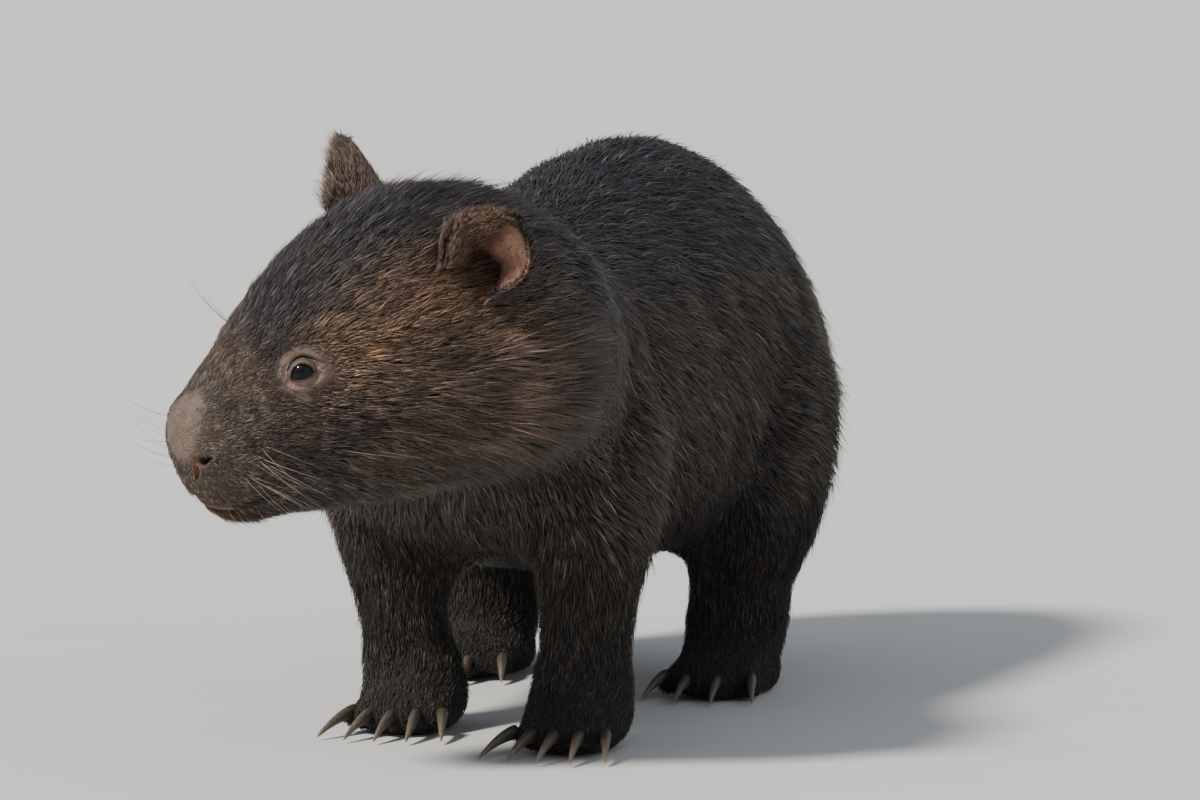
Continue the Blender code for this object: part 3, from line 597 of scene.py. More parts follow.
def tail_rings(rings=8, around=20):
    """Circles of radius R sqrt(1 - 0.98 t^3) (1 - 0.3 t) on a path that falls as t^2."""
    t, angle = np.linspace(0, 1, rings)[:, None, None], circle(around)[None, :, None]
    radius = TAIL_RADIUS * np.sqrt(np.clip(1 - 0.98 * t**3, 0, 1)) * (1 - 0.3 * t)
    stub = np.array(TAIL_ROOT) + t * (-TAIL_LENGTH, 0, 0) + t**2 * (0, 0, -0.020)
    return stub + radius * (np.cos(angle) * (0, 1, 0) + np.sin(angle) * (0, 0, 1))


# %% All parts together
def body_parts():
    """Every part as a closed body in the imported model's frame."""
    parts = [trunk_rings(), neck_rings(), head_rings() @ HEAD_AXES.T + HEAD_ORIGIN]
    for name in FOOT_STANDS:
        parts += [leg_rings(name), *foot_rings(name)]
    return [closed_loft(part - (*BOX_MIDDLE, 0)) for part in [*parts, tail_rings()]]


points, triangles = merged(body_parts())
print("body parts", len(points), "points")

# %% [markdown]
# ## One skin
# A voxel remesh fuses the parts at a spacing of four and a half millimetres, as casting plaster would.
# The creases between trunk and legs are relaxed more than the face is. The face then gets finer cells
# in four rounds, down to a quarter of a millimetre at the eyes, because lids, lips and nostrils are only
# a millimetre or two thick, and so fine a mesh all over would be far too large.

# %% Fuse and refine
VOXEL = 0.0045


def fused(points, triangles):
    """The union of the closed parts, as one quad mesh."""
    piece = mesh_piece("skin", points, triangles)
    fuse = piece.modifiers.new("fuse", "REMESH")
    fuse.mode = "VOXEL"
    fuse.voxel_size = VOXEL
    seen = piece.evaluated_get(bpy.context.evaluated_depsgraph_get())
    mesh = bpy.data.meshes.new_from_object(seen)
    bpy.data.objects.remove(piece, do_unlink=True)
    return mesh


def edges_of(mesh):
    """The two ends of each edge."""
    edges = np.empty(len(mesh.edges) * 2, np.int32)
    mesh.edges.foreach_get("vertices", edges)
    return edges.reshape(-1, 2)


def moved_to(mesh, points):
    """Gives the mesh new places for its points."""
    mesh.vertices.foreach_set("co", np.asarray(points, np.float32).ravel())
    mesh.update()


def refine(mesh, inside, rounds, share=0.5):
    """Halves every edge whose ends both satisfy the test, then relaxes the finer part."""
    work = bmesh.new()
    work.from_mesh(mesh)
    points, _, _ = arrays_of(mesh)
    chosen = inside(points)
    work.verts.ensure_lookup_table()
    edges = [e for e in work.edges if chosen[e.verts[0].index] and chosen[e.verts[1].index]]
    bmesh.ops.subdivide_edges(work, edges=edges, cuts=1, use_grid_fill=True)
    work.to_mesh(mesh)
    work.free()
    points, _, _ = arrays_of(mesh)
    weight = inside(points).astype(float) * share
    moved_to(mesh, relax(points, edges_of(mesh), rounds, weight))


# %% Lines of the face
NOSE_START = 13.6  # centimetres ahead in the head's frame, where the nose begins


def line_distance(flat, line, widths):
    """Distance of flat points to a bent line, and the line's width at the nearest place."""
    best = np.full(len(flat), 1e9)
    width = np.zeros(len(flat))
    for n in range(len(line) - 1):
        start, end = np.array(line[n]), np.array(line[n + 1])
        along = end - start
        t = np.clip((flat - start) @ along / (along @ along), 0, 1)
        distance = np.linalg.norm(flat - start - t[:, None] * along, axis=1)
        here = widths[n] * (1 - t) + widths[n + 1] * t
        width = np.where(distance < best, here, width)
        best = np.minimum(best, distance)
    return best, width


def nose_distance(h, line, widths):
    """Millimetres from a line on the nose, seen from the front, and the half width there."""
    distance, width = line_distance(np.stack([np.abs(h[:, 1]), h[:, 2]], 1), line, widths)
    return np.where(h[:, 0] > NOSE_START, distance * 10, 99.0), width


def nostril_distance(h):
    """Millimetres from the nostril's line, and its half width."""
    return nose_distance(h, NOSTRIL_LINE, NOSTRIL_WIDTHS)


def fossa_distance(h):
    """Millimetres from the middle of the groove under the nostril, and its half width."""
    return nose_distance(h, FOSSA_LINE, FOSSA_WIDTHS)


def pad_size(h):
    """1 on the rim of the bare nose pad, less within."""
    across = np.hypot(h[:, 1] / PAD_WIDTH, (h[:, 2] - PAD_MIDDLE) / PAD_HEIGHT)
    return np.where(h[:, 0] > NOSE_START, across, 9.0)


def mouth_angle(h):
    """The angle round the mouth's arc, and the height above its line in centimetres."""
    angle = np.arctan2(h[:, 1], h[:, 0] - MOUTH_PIVOT)
    return angle, h[:, 2] - (MOUTH_HEIGHT + MOUTH_RISE * (1 - np.cos(angle)))


# %% Where the skin gets finer cells
def near_face(points):
    """True from the eyes forward."""
    h = to_head(points)
    return (h[:, 0] > 4.2) & (head_weight(h) > 0.9)


def near_features(points, eye_reach, nose_start, mouth_reach):
    """True near an eye, on the nose or near the mouth's line."""
    h = to_head(points)
    angle, above = mouth_angle(h)
    mouth = (np.abs(angle) < 1.6) & (np.abs(above) < mouth_reach) & (h[:, 0] > 9)
    return (head_weight(h) > 0.9) & ((eye_distance(points) < eye_reach) | (h[:, 0] > nose_start) | mouth)


def near_nostril(points, reach):
    """True within reach of the nostrils and the grooves under them."""
    h = to_head(points)
    return (h[:, 0] > 14) & (np.minimum(nostril_distance(h)[0], fossa_distance(h)[0]) < reach)


REFINEMENTS = (  # where, and how many rounds of relaxing follow
    (near_face, 6),
    (lambda p: near_features(p, 17.0, 13.6, 0.75), 5),
    (lambda p: near_features(p, 13.5, 99.0, 0.42) | near_nostril(p, 5.5), 4),
    (lambda p: near_features(p, 11.0, 99.0, 0.0) | near_nostril(p, 4.2), 3),
)

# %% The fused skin
skin_mesh = fused(points, triangles)
points, _, _ = arrays_of(skin_mesh)
h = to_head(points)
CREASE_ROUNDS, NAPE_ROUNDS = 13, 28
crease = 0.5 * (1 - 0.85 * smooth(0.4, 0.9, head_weight(h))) * smooth(0.012, 0.035, points[:, 2])
points = relax(points, edges_of(skin_mesh), CREASE_ROUNDS, crease + 0.05)
h = to_head(points)
nape = smooth(-11.0, -7.0, h[:, 0]) * smooth(3.5, -1.0, h[:, 0])
moved_to(skin_mesh, relax(points, edges_of(skin_mesh), NAPE_ROUNDS, 0.5 * nape))
for where, rounds in REFINEMENTS:
    refine(skin_mesh, where, rounds)
print("skin", len(skin_mesh.vertices), "points")

# %% [markdown]
# ## Lids, nostrils, mouth and coat depth
# The skin lies inside the coat's outline by the depth of the fur: some nine millimetres on the trunk,
# five on the cheek, three on the nose and half of one beside the eye. The lids are two dark rims that hug
# the eyeball in the shape of an almond, with a fold over them and a trough below the front corner.
# The nostril is a comma that runs down into a groove to the lip, and the mouth a line between soft lips.
# All of these are heights added to the skin's points, because a sculpted face could not be made again
# from its numbers.

# %% Coat depth and the lines round the eye
TAIL_START = (-0.344, -0.356)  # along the trunk
# millimetres forward and up from the eyeball's centre, as seen from outside
LID_SHIFT, LID_BASE = 1.0, -1.0  # the middle of the opening, and the height of its two corners
LID_HALF_WIDTH, LID_UPPER, LID_LOWER = 6.1, 6.3, 2.3
CREASE_LINE = ((7.8, 3.4), (4.8, 6.7), (1.5, 8.2), (-2.0, 8.4), (-6.0, 6.4), (-9.5, 3.2), (-15.0, 1.8))
CREASE_WIDTHS = (0.2, 0.45, 0.5, 0.5, 0.5, 0.45, 0.2)
CORNER_LINE, CORNER_WIDTHS = ((-5.2, -1.2), (-9.0, -0.9), (-13.0, -0.2)), (0.3, 0.35, 0.15)
TEAR_LINE, TEAR_WIDTHS = ((14.5, -0.8), (9.6, -6.5), (5.5, -10.6), (1.3, -14.2)), (0.4, 0.9, 0.8, 0.3)


def coat_depth(points):
    """How deep the skin lies under the coat's tips, in millimetres."""
    h = to_head(points)
    crown = smooth(6.5, 1.0, h[:, 0]) * smooth(-4.0, 0.0, h[:, 2])
    face = 4.6 - (2.9 - 1.6 * smooth(-10.5, -8.0, h[:, 2])) * smooth(7.0, 13.0, h[:, 0]) + 2.4 * crown
    nose = 1 - smooth(1.0, 2.2, pad_size(h))
    face = face * (1 - nose) + 3.1 * nose
    away = smooth(8.0, 24.0, eye_distance(points))
    face = face * away + 0.5 * (1 - away)
    tail = smooth(*TAIL_START, points[:, 0])
    body = 9.0 - 3.6 * leg_weight(points) - 2.4 * foot_weight(points) - 5.0 * tail
    return by_head(h, face, body)


def almond(forward, up):
    """Millimetres outside the lids' opening, F / |grad F|, and the height over the line of its corners."""
    across = (forward - LID_SHIFT) / LID_HALF_WIDTH
    high = up - LID_BASE
    tall = np.where(high > 0, LID_UPPER, LID_LOWER)
    value = np.abs(across) ** 1.9 + (high / tall) ** 2 - 1
    slope = np.hypot(1.9 * np.abs(across) ** 0.9 / LID_HALF_WIDTH, 2 * np.abs(high) / tall**2)
    return value / np.maximum(slope, 0.25), high


def eye_lines(forward, up):
    """exp(-(distance / width)^2) of the crease over the eye, the fold behind it and the trough below."""
    lines = (CREASE_LINE, CREASE_WIDTHS), (CORNER_LINE, CORNER_WIDTHS), (TEAR_LINE, TEAR_WIDTHS)
    found = [line_distance(np.stack([forward, up], 1), line, widths) for line, widths in lines]
    return [np.exp(-((distance / np.maximum(width, 0.15)) ** 2)) for distance, width in found]


# %% Shapes of the lids, nostrils, mouth and folds
def shape_lids(points, side):
    """Near the eye the skin is a height over the eyeball: a rounded rim, a crease and a soft outer ring."""
    _, out, _, _ = eye_frame(side)
    forward, up, height = around_eye(points, side)
    outside, high = almond(forward, up)
    reach = np.hypot(forward, up)
    ball = np.sqrt(np.clip((EYE_RADIUS / MM) ** 2 - reach**2, 4.0, None))
    upper = smooth(-0.5, 2.5, high)
    rim = ball + (1.05 + 0.35 * upper) * np.sqrt(np.clip(1 - ((outside - 1.0) / 1.6) ** 2, 0.0, 1))
    within = ball - 2.6
    edge = smooth(-0.75, -0.15, outside)
    lid = within * (1 - edge) + rim * edge
    blend = smooth(0.9, 3.2 + 1.4 * upper, outside)
    crease, corner, tear = eye_lines(forward, up)
    ridge = 0.8 * np.exp(-(((outside - 5.4) / 1.7) ** 2)) * upper
    pouch = 0.45 * np.exp(-(((outside - 3.0) / 1.4) ** 2)) * (1 - upper)
    lines = (-1.3 * crease - 0.8 * corner - 0.8 * tear) * smooth(0.2, 1.0, outside)
    wanted = lid * (1 - blend) + (height - 0.3) * blend + ridge + pouch + lines
    near = (height > 0) & (reach < 20)
    fade = 1 - smooth(13.0, 19.0, reach)
    return (np.where(near, wanted - height, 0.0) * fade)[:, None] * MM * out


def shape_nostrils(points, normals):
    """A pit along a bent line on each side of the nose, a groove from it to the lip, and raised edges."""
    h = to_head(points)
    distance, width = nostril_distance(h)
    fossa, reach = fossa_distance(h)
    pit = 6.0 * (1 - smooth(0.45, 1.15, distance / np.maximum(width, 0.3)))
    groove = 2.2 * (1 - smooth(0.2, 1.1, fossa / np.maximum(reach, 0.3)))
    wing = 0.7 * np.exp(-(((distance - width - 1.6) / 1.1) ** 2))
    edge = 0.6 * np.exp(-(((fossa - reach - 0.9) / 0.8) ** 2)) * (np.abs(h[:, 1]) > 1.6)
    return (wing + edge - np.maximum(pit, groove))[:, None] * MM * normals


def shape_mouth(points, normals):
    """A narrow groove between two soft lips, and a shallow furrow from the nose down to the upper lip."""
    h = to_head(points)
    angle, above = mouth_angle(h)
    along = (1 - smooth(1.28, 1.50, np.abs(angle))) * smooth(9.0, 10.0, h[:, 0]) * (h[:, 0] > 8)
    gape = 0.8 + 1.3 * (1 - smooth(0.30, 0.60, np.abs(angle)))
    groove = -4.2 * np.exp(-((above * 10 / gape) ** 2))
    lips = 1.3 * np.exp(-(((above * 10 - 2.7) / 1.5) ** 2)) + 1.2 * np.exp(-(((above * 10 + 2.5) / 1.5) ** 2))
    front = smooth(14.6, 15.4, h[:, 0]) * (above > 0)
    furrow = -1.3 * np.exp(-((h[:, 1] * 10 / 0.8) ** 2)) * front * smooth(2.8, 1.2, above)
    return ((groove + lips) * along + furrow)[:, None] * MM * normals


def shape_folds(points, normals):
    """Slow waves of loose skin, 1.2 mm high on the body, and finer ones of 0.35 mm on the head."""
    h = to_head(points)
    ripple = by_head(h, waves(points, 0.022, 6) * 0.35, waves(points, 0.055, 5) * 1.2)
    return ripple[:, None] * MM * normals


LOWEST_SKIN, LOWEST_HAIR = 0.0004, 0.0003
points, triangles, normals = arrays_of(skin_mesh)
points = points - normals * coat_depth(points)[:, None] * MM + shape_folds(points, normals)
points = points + shape_nostrils(points, normals) + shape_mouth(points, normals)
points = points + shape_lids(points, 1) + shape_lids(points, -1)
points[:, 2] = np.maximum(points[:, 2], LOWEST_SKIN)
moved_to(skin_mesh, points)
print("deepest coat", round(float(coat_depth(points).max()), 2), "mm")

# %% [markdown]
# ## Markings
# The coat is grey on the back, browner on the flanks and head, warm behind the eye and on the cheek,
# and pale along the top of the muzzle, with a painted pool of sunlight on the shoulder. One function gives
# the colour for any place, and both the skin and every tuft ask it, so they never disagree. Colours are linear,
# as light adds up.

# %% The colours
BACK, FLANK, BELLY = (0.040, 0.039, 0.043), (0.051, 0.041, 0.035), (0.041, 0.032, 0.027)
# painted sunlight: the shoulder's colour is lighter and browner than the flank, as a pool of sunlight
PAINTED_SHOULDER_LIGHT = (0.078, 0.057, 0.045)
RUMP, LEG, FOOT = (0.036, 0.032, 0.031), (0.036, 0.029, 0.024), (0.030, 0.025, 0.021)
CROWN, CHEEK, WARM = (0.046, 0.042, 0.045), (0.094, 0.063, 0.046), (0.152, 0.090, 0.055)
RUFF, LOW_CHEEK, SHADE = (0.105, 0.073, 0.054), (0.062, 0.047, 0.037), (0.034, 0.029, 0.028)
MUZZLE, BRIDGE, CHIN = (0.108, 0.079, 0.060), (0.116, 0.089, 0.073), (0.050, 0.036, 0.026)
THROAT = (0.042, 0.033, 0.027)
NOSE_PAD, NOSE_LOW, NOSTRIL_PINK = (0.195, 0.128, 0.092), (0.110, 0.070, 0.049), (0.215, 0.090, 0.042)
LID_DARK, LID_PALE, EYE_RING = (0.010, 0.007, 0.006), (0.190, 0.112, 0.085), (0.118, 0.072, 0.053)
# painted shade: the crease colour darkens the crease over the eye, the fold behind it and the tear trough
# painted shade: the pit colour darkens the nostrils' pits and the mouth's line
LID_BAND, PAINTED_CREASE_SHADE, PAINTED_PIT_SHADE = (0.120, 0.078, 0.055), (0.022, 0.013, 0.010), (0.008, 0.003, 0.002)
# the mouth colour is its own dark red, darkened further as painted shade in the gape
MOUTH_RED_AND_SHADE, LIP_TAN = (0.022, 0.006, 0.004), (0.135, 0.062, 0.030)
# the deep ear colour is painted shade in the ear's fold and low in its cup, and also a random dark mottle
EAR_PINK, EAR_SHADE_AND_MOTTLE, EAR_TAN = (0.480, 0.260, 0.180), (0.100, 0.045, 0.034), (0.150, 0.092, 0.060)
EAR_BACK, EAR_TIP = (0.098, 0.066, 0.050), (0.034, 0.027, 0.026)
# painted shade: the skin under the coat is darkened to stand for the shade between the hairs
ROOT_SHADE = 0.50  # how dark the skin under the coat is against the coat


def painted(base, *coats):
    """The base with coats of colour laid over it in turn, each a weight for every point and a colour."""
    for weight, colour in coats:
        base = base * (1 - weight[:, None]) + np.asarray(colour) * weight[:, None]
    return base


def blob(h, centre, size):
    """exp(-d*d), with d the distance from a place in the head's frame in units of its size, on both sides."""
    folded = np.stack([h[:, 0], np.abs(h[:, 1]), h[:, 2]], 1)
    return np.exp(-np.sum(((folded - centre) / size) ** 2, axis=1))


print("colours of the coat", BACK, FLANK, WARM)

# %% Colours of the coat
CHEEK_PATCHES = (  # share, centre and size in centimetres, colour
    (0.90, (7.2, 5.6, -3.7), (2.4, 2.6, 1.7), WARM),
    (0.85, (3.8, 6.6, -2.0), (3.0, 2.6, 1.9), WARM),
    (0.50, (0.6, 6.8, -3.0), (2.4, 2.6, 2.4), WARM),
    (0.60, (9.4, 5.5, -7.6), (2.2, 2.6, 1.4), SHADE),
    (0.72, (10.6, 4.4, -9.8), (2.4, 2.4, 1.5), SHADE),
    (0.90, (10.8, 3.4, -12.0), (3.0, 3.0, 1.2), SHADE),
    (0.45, (5.2, 7.2, -9.6), (1.6, 2.4, 1.2), SHADE),
)
MOUTH_PATCHES = (
    (0.8, (14.6, 0.8, -12.0), (1.2, 1.6, 0.7), LIP_TAN),
    (0.45, (12.4, 3.8, -7.4), (1.6, 2.0, 1.5), SHADE),
)


def patches(h, table):
    """The weights and colours of a table of soft patches."""
    return [(share * blob(h, centre, size), colour) for share, centre, size, colour in table]


def trunk_colour(points):
    """Grey on the back, lighter and browner on the shoulder as painted sunlight, darker on the belly, the rump,
    the legs and the feet.
    """
    x, _, z = points.T
    # where the painted pool of sunlight lies on the shoulder
    shoulder = smooth(-0.04, 0.09, x) * smooth(0.245, 0.205, z) * smooth(0.085, 0.120, z)
    return painted(
        FLANK,
        (smooth(0.225, 0.295, z), BACK),
        (smooth(0.135, 0.090, z), BELLY),
        (smooth(-0.24, -0.33, x), RUMP),
        (0.60 * shoulder, PAINTED_SHOULDER_LIGHT),
        (leg_weight(points), LEG),
        (foot_weight(points), FOOT),
    )


# %% Colours of the head
def face_colour(points, h):
    """Warm behind the eye, shaded under it, dark on the crown, pale on the bridge, ragged at the rear."""
    x, y, z = h.T
    stations = np.array(HEAD_STATIONS)
    below_top = np.interp(x, stations[:, 0], stations[:, 2]) - z + 0.5 * waves(points, 0.03, 13)
    crown = smooth(2.5, 0.5, below_top) * smooth(5.0, 2.6, np.abs(y)) * smooth(12.6, 9.6, x)
    ragged = x + 1.6 * waves(points, 0.028, 14) + 0.8 * waves(points, 0.009, 15)
    return painted(
        CHEEK,
        (0.75 * blob(h, (3.5, 8.0, -6.6), (3.2, 3.0, 2.6)), RUFF),
        (smooth(-9.6, -12.0, z), LOW_CHEEK),
        *patches(h, CHEEK_PATCHES),
        (smooth(10.6, 13.4, x) * smooth(-11.8, -10.6, z), MUZZLE),
        (0.92 * crown, CROWN),
        (0.8 * smooth(1.8, 0.5, below_top) * smooth(12.0, 14.0, x), BRIDGE),
        (smooth(-11.2, -12.2, z) * smooth(9.0, 12.0, x), CHIN),
        *patches(h, MOUTH_PATCHES),
        (smooth(6.0, 1.0, x) * smooth(-10.0, -12.5, z), THROAT),
        (smooth(1.0, -3.0, x) * smooth(6.8, 4.5, np.abs(y)), CROWN),
        (0.75 * smooth(0.5, -3.5, ragged), FLANK),
    )


def coat_colour(points):
    """The coat's own colour anywhere on the body, a little lighter and darker in slow waves."""
    h = to_head(points)
    head = head_weight(h)[:, None]
    colour = trunk_colour(points) * (1 - head) + face_colour(points, h) * head
    slow = 1 + 0.16 * waves(points, 0.060, 11) + 0.10 * waves(points, 0.021, 12)
    return colour * slow[:, None]


print("colour on top of the back", np.round(coat_colour(np.array([(0.0, 0.0, 0.33)])), 3).tolist())

# %% Where no hair grows
def bareness(points):
    """1 where no hair grows: the nose pad, the lids and their ring, inside the mouth and under the feet."""
    h = to_head(points)
    nose = 1 - smooth(0.75, 1.40, pad_size(h) + 0.10 * waves(points, 0.004, 21))
    ring = np.zeros(len(points))
    for side, _ in SIDES:
        forward, up, height = around_eye(points, side)
        outside, high = almond(forward, up)
        tear, _ = line_distance(np.stack([forward, up], 1), TEAR_LINE, TEAR_WIDTHS)
        back, _ = line_distance(np.stack([forward, up], 1), CORNER_LINE, CORNER_WIDTHS)
        shown = (height > 0) & (np.hypot(forward, up) < 20)
        lids = 1 - smooth(2.0, 6.0, outside - 1.5 * smooth(0, 4, high))
        folds = np.maximum(0.85 * (1 - smooth(1.0, 2.8, tear)), 0.75 * (1 - smooth(1.0, 2.6, back)))
        ring = np.maximum(ring, np.maximum(lids, folds) * shown)
    distance, width = nostril_distance(h)
    fossa, reach = fossa_distance(h)
    nostril = (distance < width + 0.7) | (fossa < reach + 0.4)
    angle, above = mouth_angle(h)
    mouth = (above < 0.14) & (above > -0.50) & (np.abs(angle) < 0.50) & (h[:, 0] > 11)
    sole = points[:, 2] < 0.0022
    bare = np.maximum.reduce([nose, ring, nostril.astype(float), mouth.astype(float)])
    return np.maximum(bare * head_weight(h), sole)


# %% Colours of bare skin
def eye_coats(points, side):
    """A brown ring, a pale lower lid and rear corner, a band over the eye, painted shade in the creases, the
    fold and the tear trough, and dark rims.
    """
    forward, up, height = around_eye(points, side)
    outside, high = almond(forward, up)
    near = ((np.hypot(forward, up) < 24) & (height > -2)).astype(float)
    upper = smooth(-1.0, 1.0, high)
    crease, fold, tear = eye_lines(forward, up)
    corner = np.exp(-(((forward + 9.5) / 3.8) ** 2) - (((up + 0.2) / 1.8) ** 2))
    return (
        (near, EYE_RING),
        (near * np.exp(-(((outside - 1.7) / 1.0) ** 2)) * (1 - upper), LID_PALE),
        (near * corner, LID_PALE),
        (near * (1 - smooth(2.2, 3.0, outside)) * upper, LID_BAND),
        # painted shade in the crease over the eye, the fold behind it and the tear trough
        (near * np.maximum(crease, 0.7 * fold), PAINTED_CREASE_SHADE),
        (0.45 * near * tear, PAINTED_CREASE_SHADE),
        (near * (1 - smooth(0.35, 0.95, outside)), LID_DARK),
    )


def skin_colour(points):
    """The coat's colour darkened as painted shade between the hairs where hair grows, and the bare skin's own
    colours elsewhere.
    """
    h = to_head(points)
    bare = bareness(points)[:, None]
    angle, above = mouth_angle(h)
    front = (1 - smooth(0.42, 0.58, np.abs(angle))) * (h[:, 0] > 11)
    around = painted(
        NOSE_LOW,
        ((1 - smooth(1.1, 1.6, pad_size(h))) * smooth(-8.9, -8.1, h[:, 2]), NOSE_PAD),
        *eye_coats(points, 1),
        *eye_coats(points, -1),
        (front * (1 - smooth(0.55, 0.75, np.abs(above))), LIP_TAN),
    )
    fossa, reach = fossa_distance(h)
    distance, width = nostril_distance(h)
    fossa, distance = fossa / np.maximum(reach, 0.3), distance / np.maximum(width, 0.3)
    lips = (1 - smooth(1.35, 1.50, np.abs(angle))) * (h[:, 0] > 9.0)
    return painted(
        # painted shade between the hairs where hair grows
        coat_colour(points) * ROOT_SHADE * (1 - bare) + around * bare,
        (0.9 * (1 - smooth(0.75, 1.15, fossa)), NOSTRIL_PINK),
        (0.6 * (1 - smooth(1.0, 1.8, distance)), NOSE_LOW),
        # painted shade deep in the nostril's pit
        (1 - smooth(0.55, 1.0, distance), PAINTED_PIT_SHADE),
        # the mouth's own dark red, darkened further as painted shade in the gape
        (front * np.exp(-((above * 10 / 1.9) ** 2)), MOUTH_RED_AND_SHADE),
        # painted shade along the mouth's groove between the lips
        (lips * np.exp(-((above * 10 / 0.7) ** 2)), PAINTED_PIT_SHADE),
    )


# %% [markdown]
# ## Ears
# Each ear is a small cupped leaf of cartilage. Arcs round its axis open to the front and side,
# and close in to a blunt tip. The leaf is thickest at its root and thin at the rim, and its root sinks
# into the head. The front half of the cup is a furred pad, the back half is pink and bare,
# a fold darkened with painted shade lies between them, with more painted shade low in the cup, and the outside
# is dark and furred.


# %% Ear shells
def ear_surface(side, t, a):
    """Root + axis * L t - facing * (depth(t) cos(wrap a) + lean t) + across * width(t) sin(wrap a).

    It is in the head's frame, and a slow ripple makes the rim uneven.
    """
    axis = unit(mirrored(EAR_AXIS, side))
    facing = mirrored(EAR_FACING, side)
    facing = unit(facing - axis * (facing @ axis))
    across = np.cross(axis, facing)
    up = np.clip(t, 0, 1)
    width = EAR_RADIUS * np.maximum(1 - up**2.6, 0.05) ** 0.52 * (0.88 + 0.30 * np.sin(math.pi * up))
    depth = EAR_RADIUS * (0.78 * (1 - up) ** 0.8 + 0.10)
    angle = (EAR_WRAP_ROOT + (EAR_WRAP_TIP - EAR_WRAP_ROOT) * up) * a
    ripple = 0.0006 * np.sin(3.1 * a * math.pi + 5 * up) * (1 - up)
    back = (-np.cos(angle) * (depth + ripple) - EAR_LEAN * up)[..., None] * facing
    aside = (np.sin(angle) * (width + ripple))[..., None] * across
    return mirrored(EAR_ROOT, side) * CM + (EAR_LENGTH * t)[..., None] * axis + back + aside


def ear_shell(side, rows=46, columns=44):
    """The leaf's surface plus and minus half its thickness along the normal, two sheets that meet at the rim.

    With each point come its place inside the cup, 1 or 0, its place from rim to rim, and its height.
    """
    level = 1 - (1 - np.linspace(0, 1, rows)) ** 1.4
    rim = np.sin(np.linspace(-1, 1, columns) * math.pi / 2)
    t, a = np.meshgrid(EAR_START + (1 - EAR_START) * level, rim, indexing="ij")
    middle = ear_surface(side, t, a)
    normal = unit(np.cross(np.gradient(middle, axis=0), np.gradient(middle, axis=1)))
    half = (0.0017 - 0.0007 * np.clip(t, 0, 1)) * (1 - 0.55 * np.abs(a) ** 4)
    folds = 0.0012 * np.cos(11 * a + 3 * t) * np.clip(1.1 - np.clip(t, 0, 1) * 1.4, 0, 1) * (1 - a**4)
    centre = mirrored(EAR_ROOT, side) * CM
    front, back = middle + normal * half[..., None], middle - normal * half[..., None]
    if np.sum((front - centre) ** 2) > np.sum((back - centre) ** 2):
        front, back = back, front
    pad = 0.0065 * smooth(0.0, -0.45, a * side) * (1 - np.abs(a) ** 5) * smooth(1.0, 0.70, t)
    front = front + unit(front - back) * (folds + pad)[..., None]
    rings = np.concatenate([front, back[:, ::-1]], axis=1)
    points, triangles = closed_loft(rings @ HEAD_AXES.T + head_origin)
    facts = ((np.ones_like(a), np.zeros_like(a)), (a, a[:, ::-1]), (t, t[:, ::-1]))
    facts = [np.concatenate(pair, axis=1) for pair in facts]
    return points, triangles, *[np.append(v.ravel(), [v[0].mean(), v[-1].mean()]) for v in facts]


# %% Colours of the ears
def bald_spot(across, height):
    """A round spot of the furred half of the cup where the skin shows."""
    return np.exp(-(((across + 0.62) / 0.13) ** 2) - (((height - 0.62) / 0.12) ** 2))


def ear_colour(points, inside, edge, height, side):
    """Pink low down at the back of the cup, tan along its front, painted shade in the fold between and low in
    the cup, a dark mottle, brown outside.
    """
    across = edge * side
    fold = np.exp(-(((across + 0.08) / 0.13) ** 2)) * smooth(0.80, 0.45, height)
    return painted(
        np.array(EAR_BACK) * 0.6,
        (inside, EAR_TAN),
        (inside * smooth(-0.15, 0.20, across) * smooth(0.92, 0.60, height), EAR_PINK),
        # painted shade in the fold between the furred pad and the pink half
        (inside * fold * 0.9, EAR_SHADE_AND_MOTTLE),
        (inside * bald_spot(across, height), EAR_PINK),
        # painted shade low in the cup
        (inside * smooth(0.30, 0.0, height) * 0.7, EAR_SHADE_AND_MOTTLE),
        # a random dark mottle inside the cup
        (inside * 0.35 * smooth(0.0, 0.8, waves(points, 0.008, 31)), EAR_SHADE_AND_MOTTLE),
        ((1 - inside) * smooth(0.70, 1.0, height), EAR_TIP),
    )


# %% [markdown]
# ## One piece of skin
# The ears join the body as more closed shells of the same mesh, so that one material covers all of the skin.
# Colours and bareness are worked out for each point and kept in attributes. A picture map would need
# an unwrap first, and an attribute goes with its point wherever the mesh goes.


# %% Attributes
def paint(piece, name, values):
    """A colour for each point, kept as an attribute that materials read."""
    layer = piece.data.attributes.new(name, "FLOAT_COLOR", "POINT")
    full = np.ones((len(values), 4), np.float32)
    full[:, :3] = np.clip(values, 0, 1)
    layer.data.foreach_set("color", full.ravel())


def note(piece, name, values):
    """A number for each point, kept as an attribute that materials read."""
    layer = piece.data.attributes.new(name, "FLOAT", "POINT")
    layer.data.foreach_set("value", np.asarray(values, np.float32))


# %% Join skin and ears
body_points, body_triangles, _ = arrays_of(skin_mesh)
bpy.data.meshes.remove(skin_mesh)
ears = {side: ear_shell(side) for side, _ in SIDES}
points, triangles = merged([(body_points, body_triangles), *[ear[:2] for ear in ears.values()]])
skin = mesh_piece("skin", points, triangles)
ear_colours = [ear_colour(ear[0], *ear[2:], side) for side, ear in ears.items()]
bare = np.concatenate([bareness(body_points), *[ear[2] for ear in ears.values()]])
paint(skin, "tone", np.vstack([skin_colour(body_points), *ear_colours]))
note(skin, "bare", bare)
note(skin, "nose", smooth(14.0, 14.8, to_head(points)[:, 0]) * bare)
print("skin", len(triangles), "triangles")
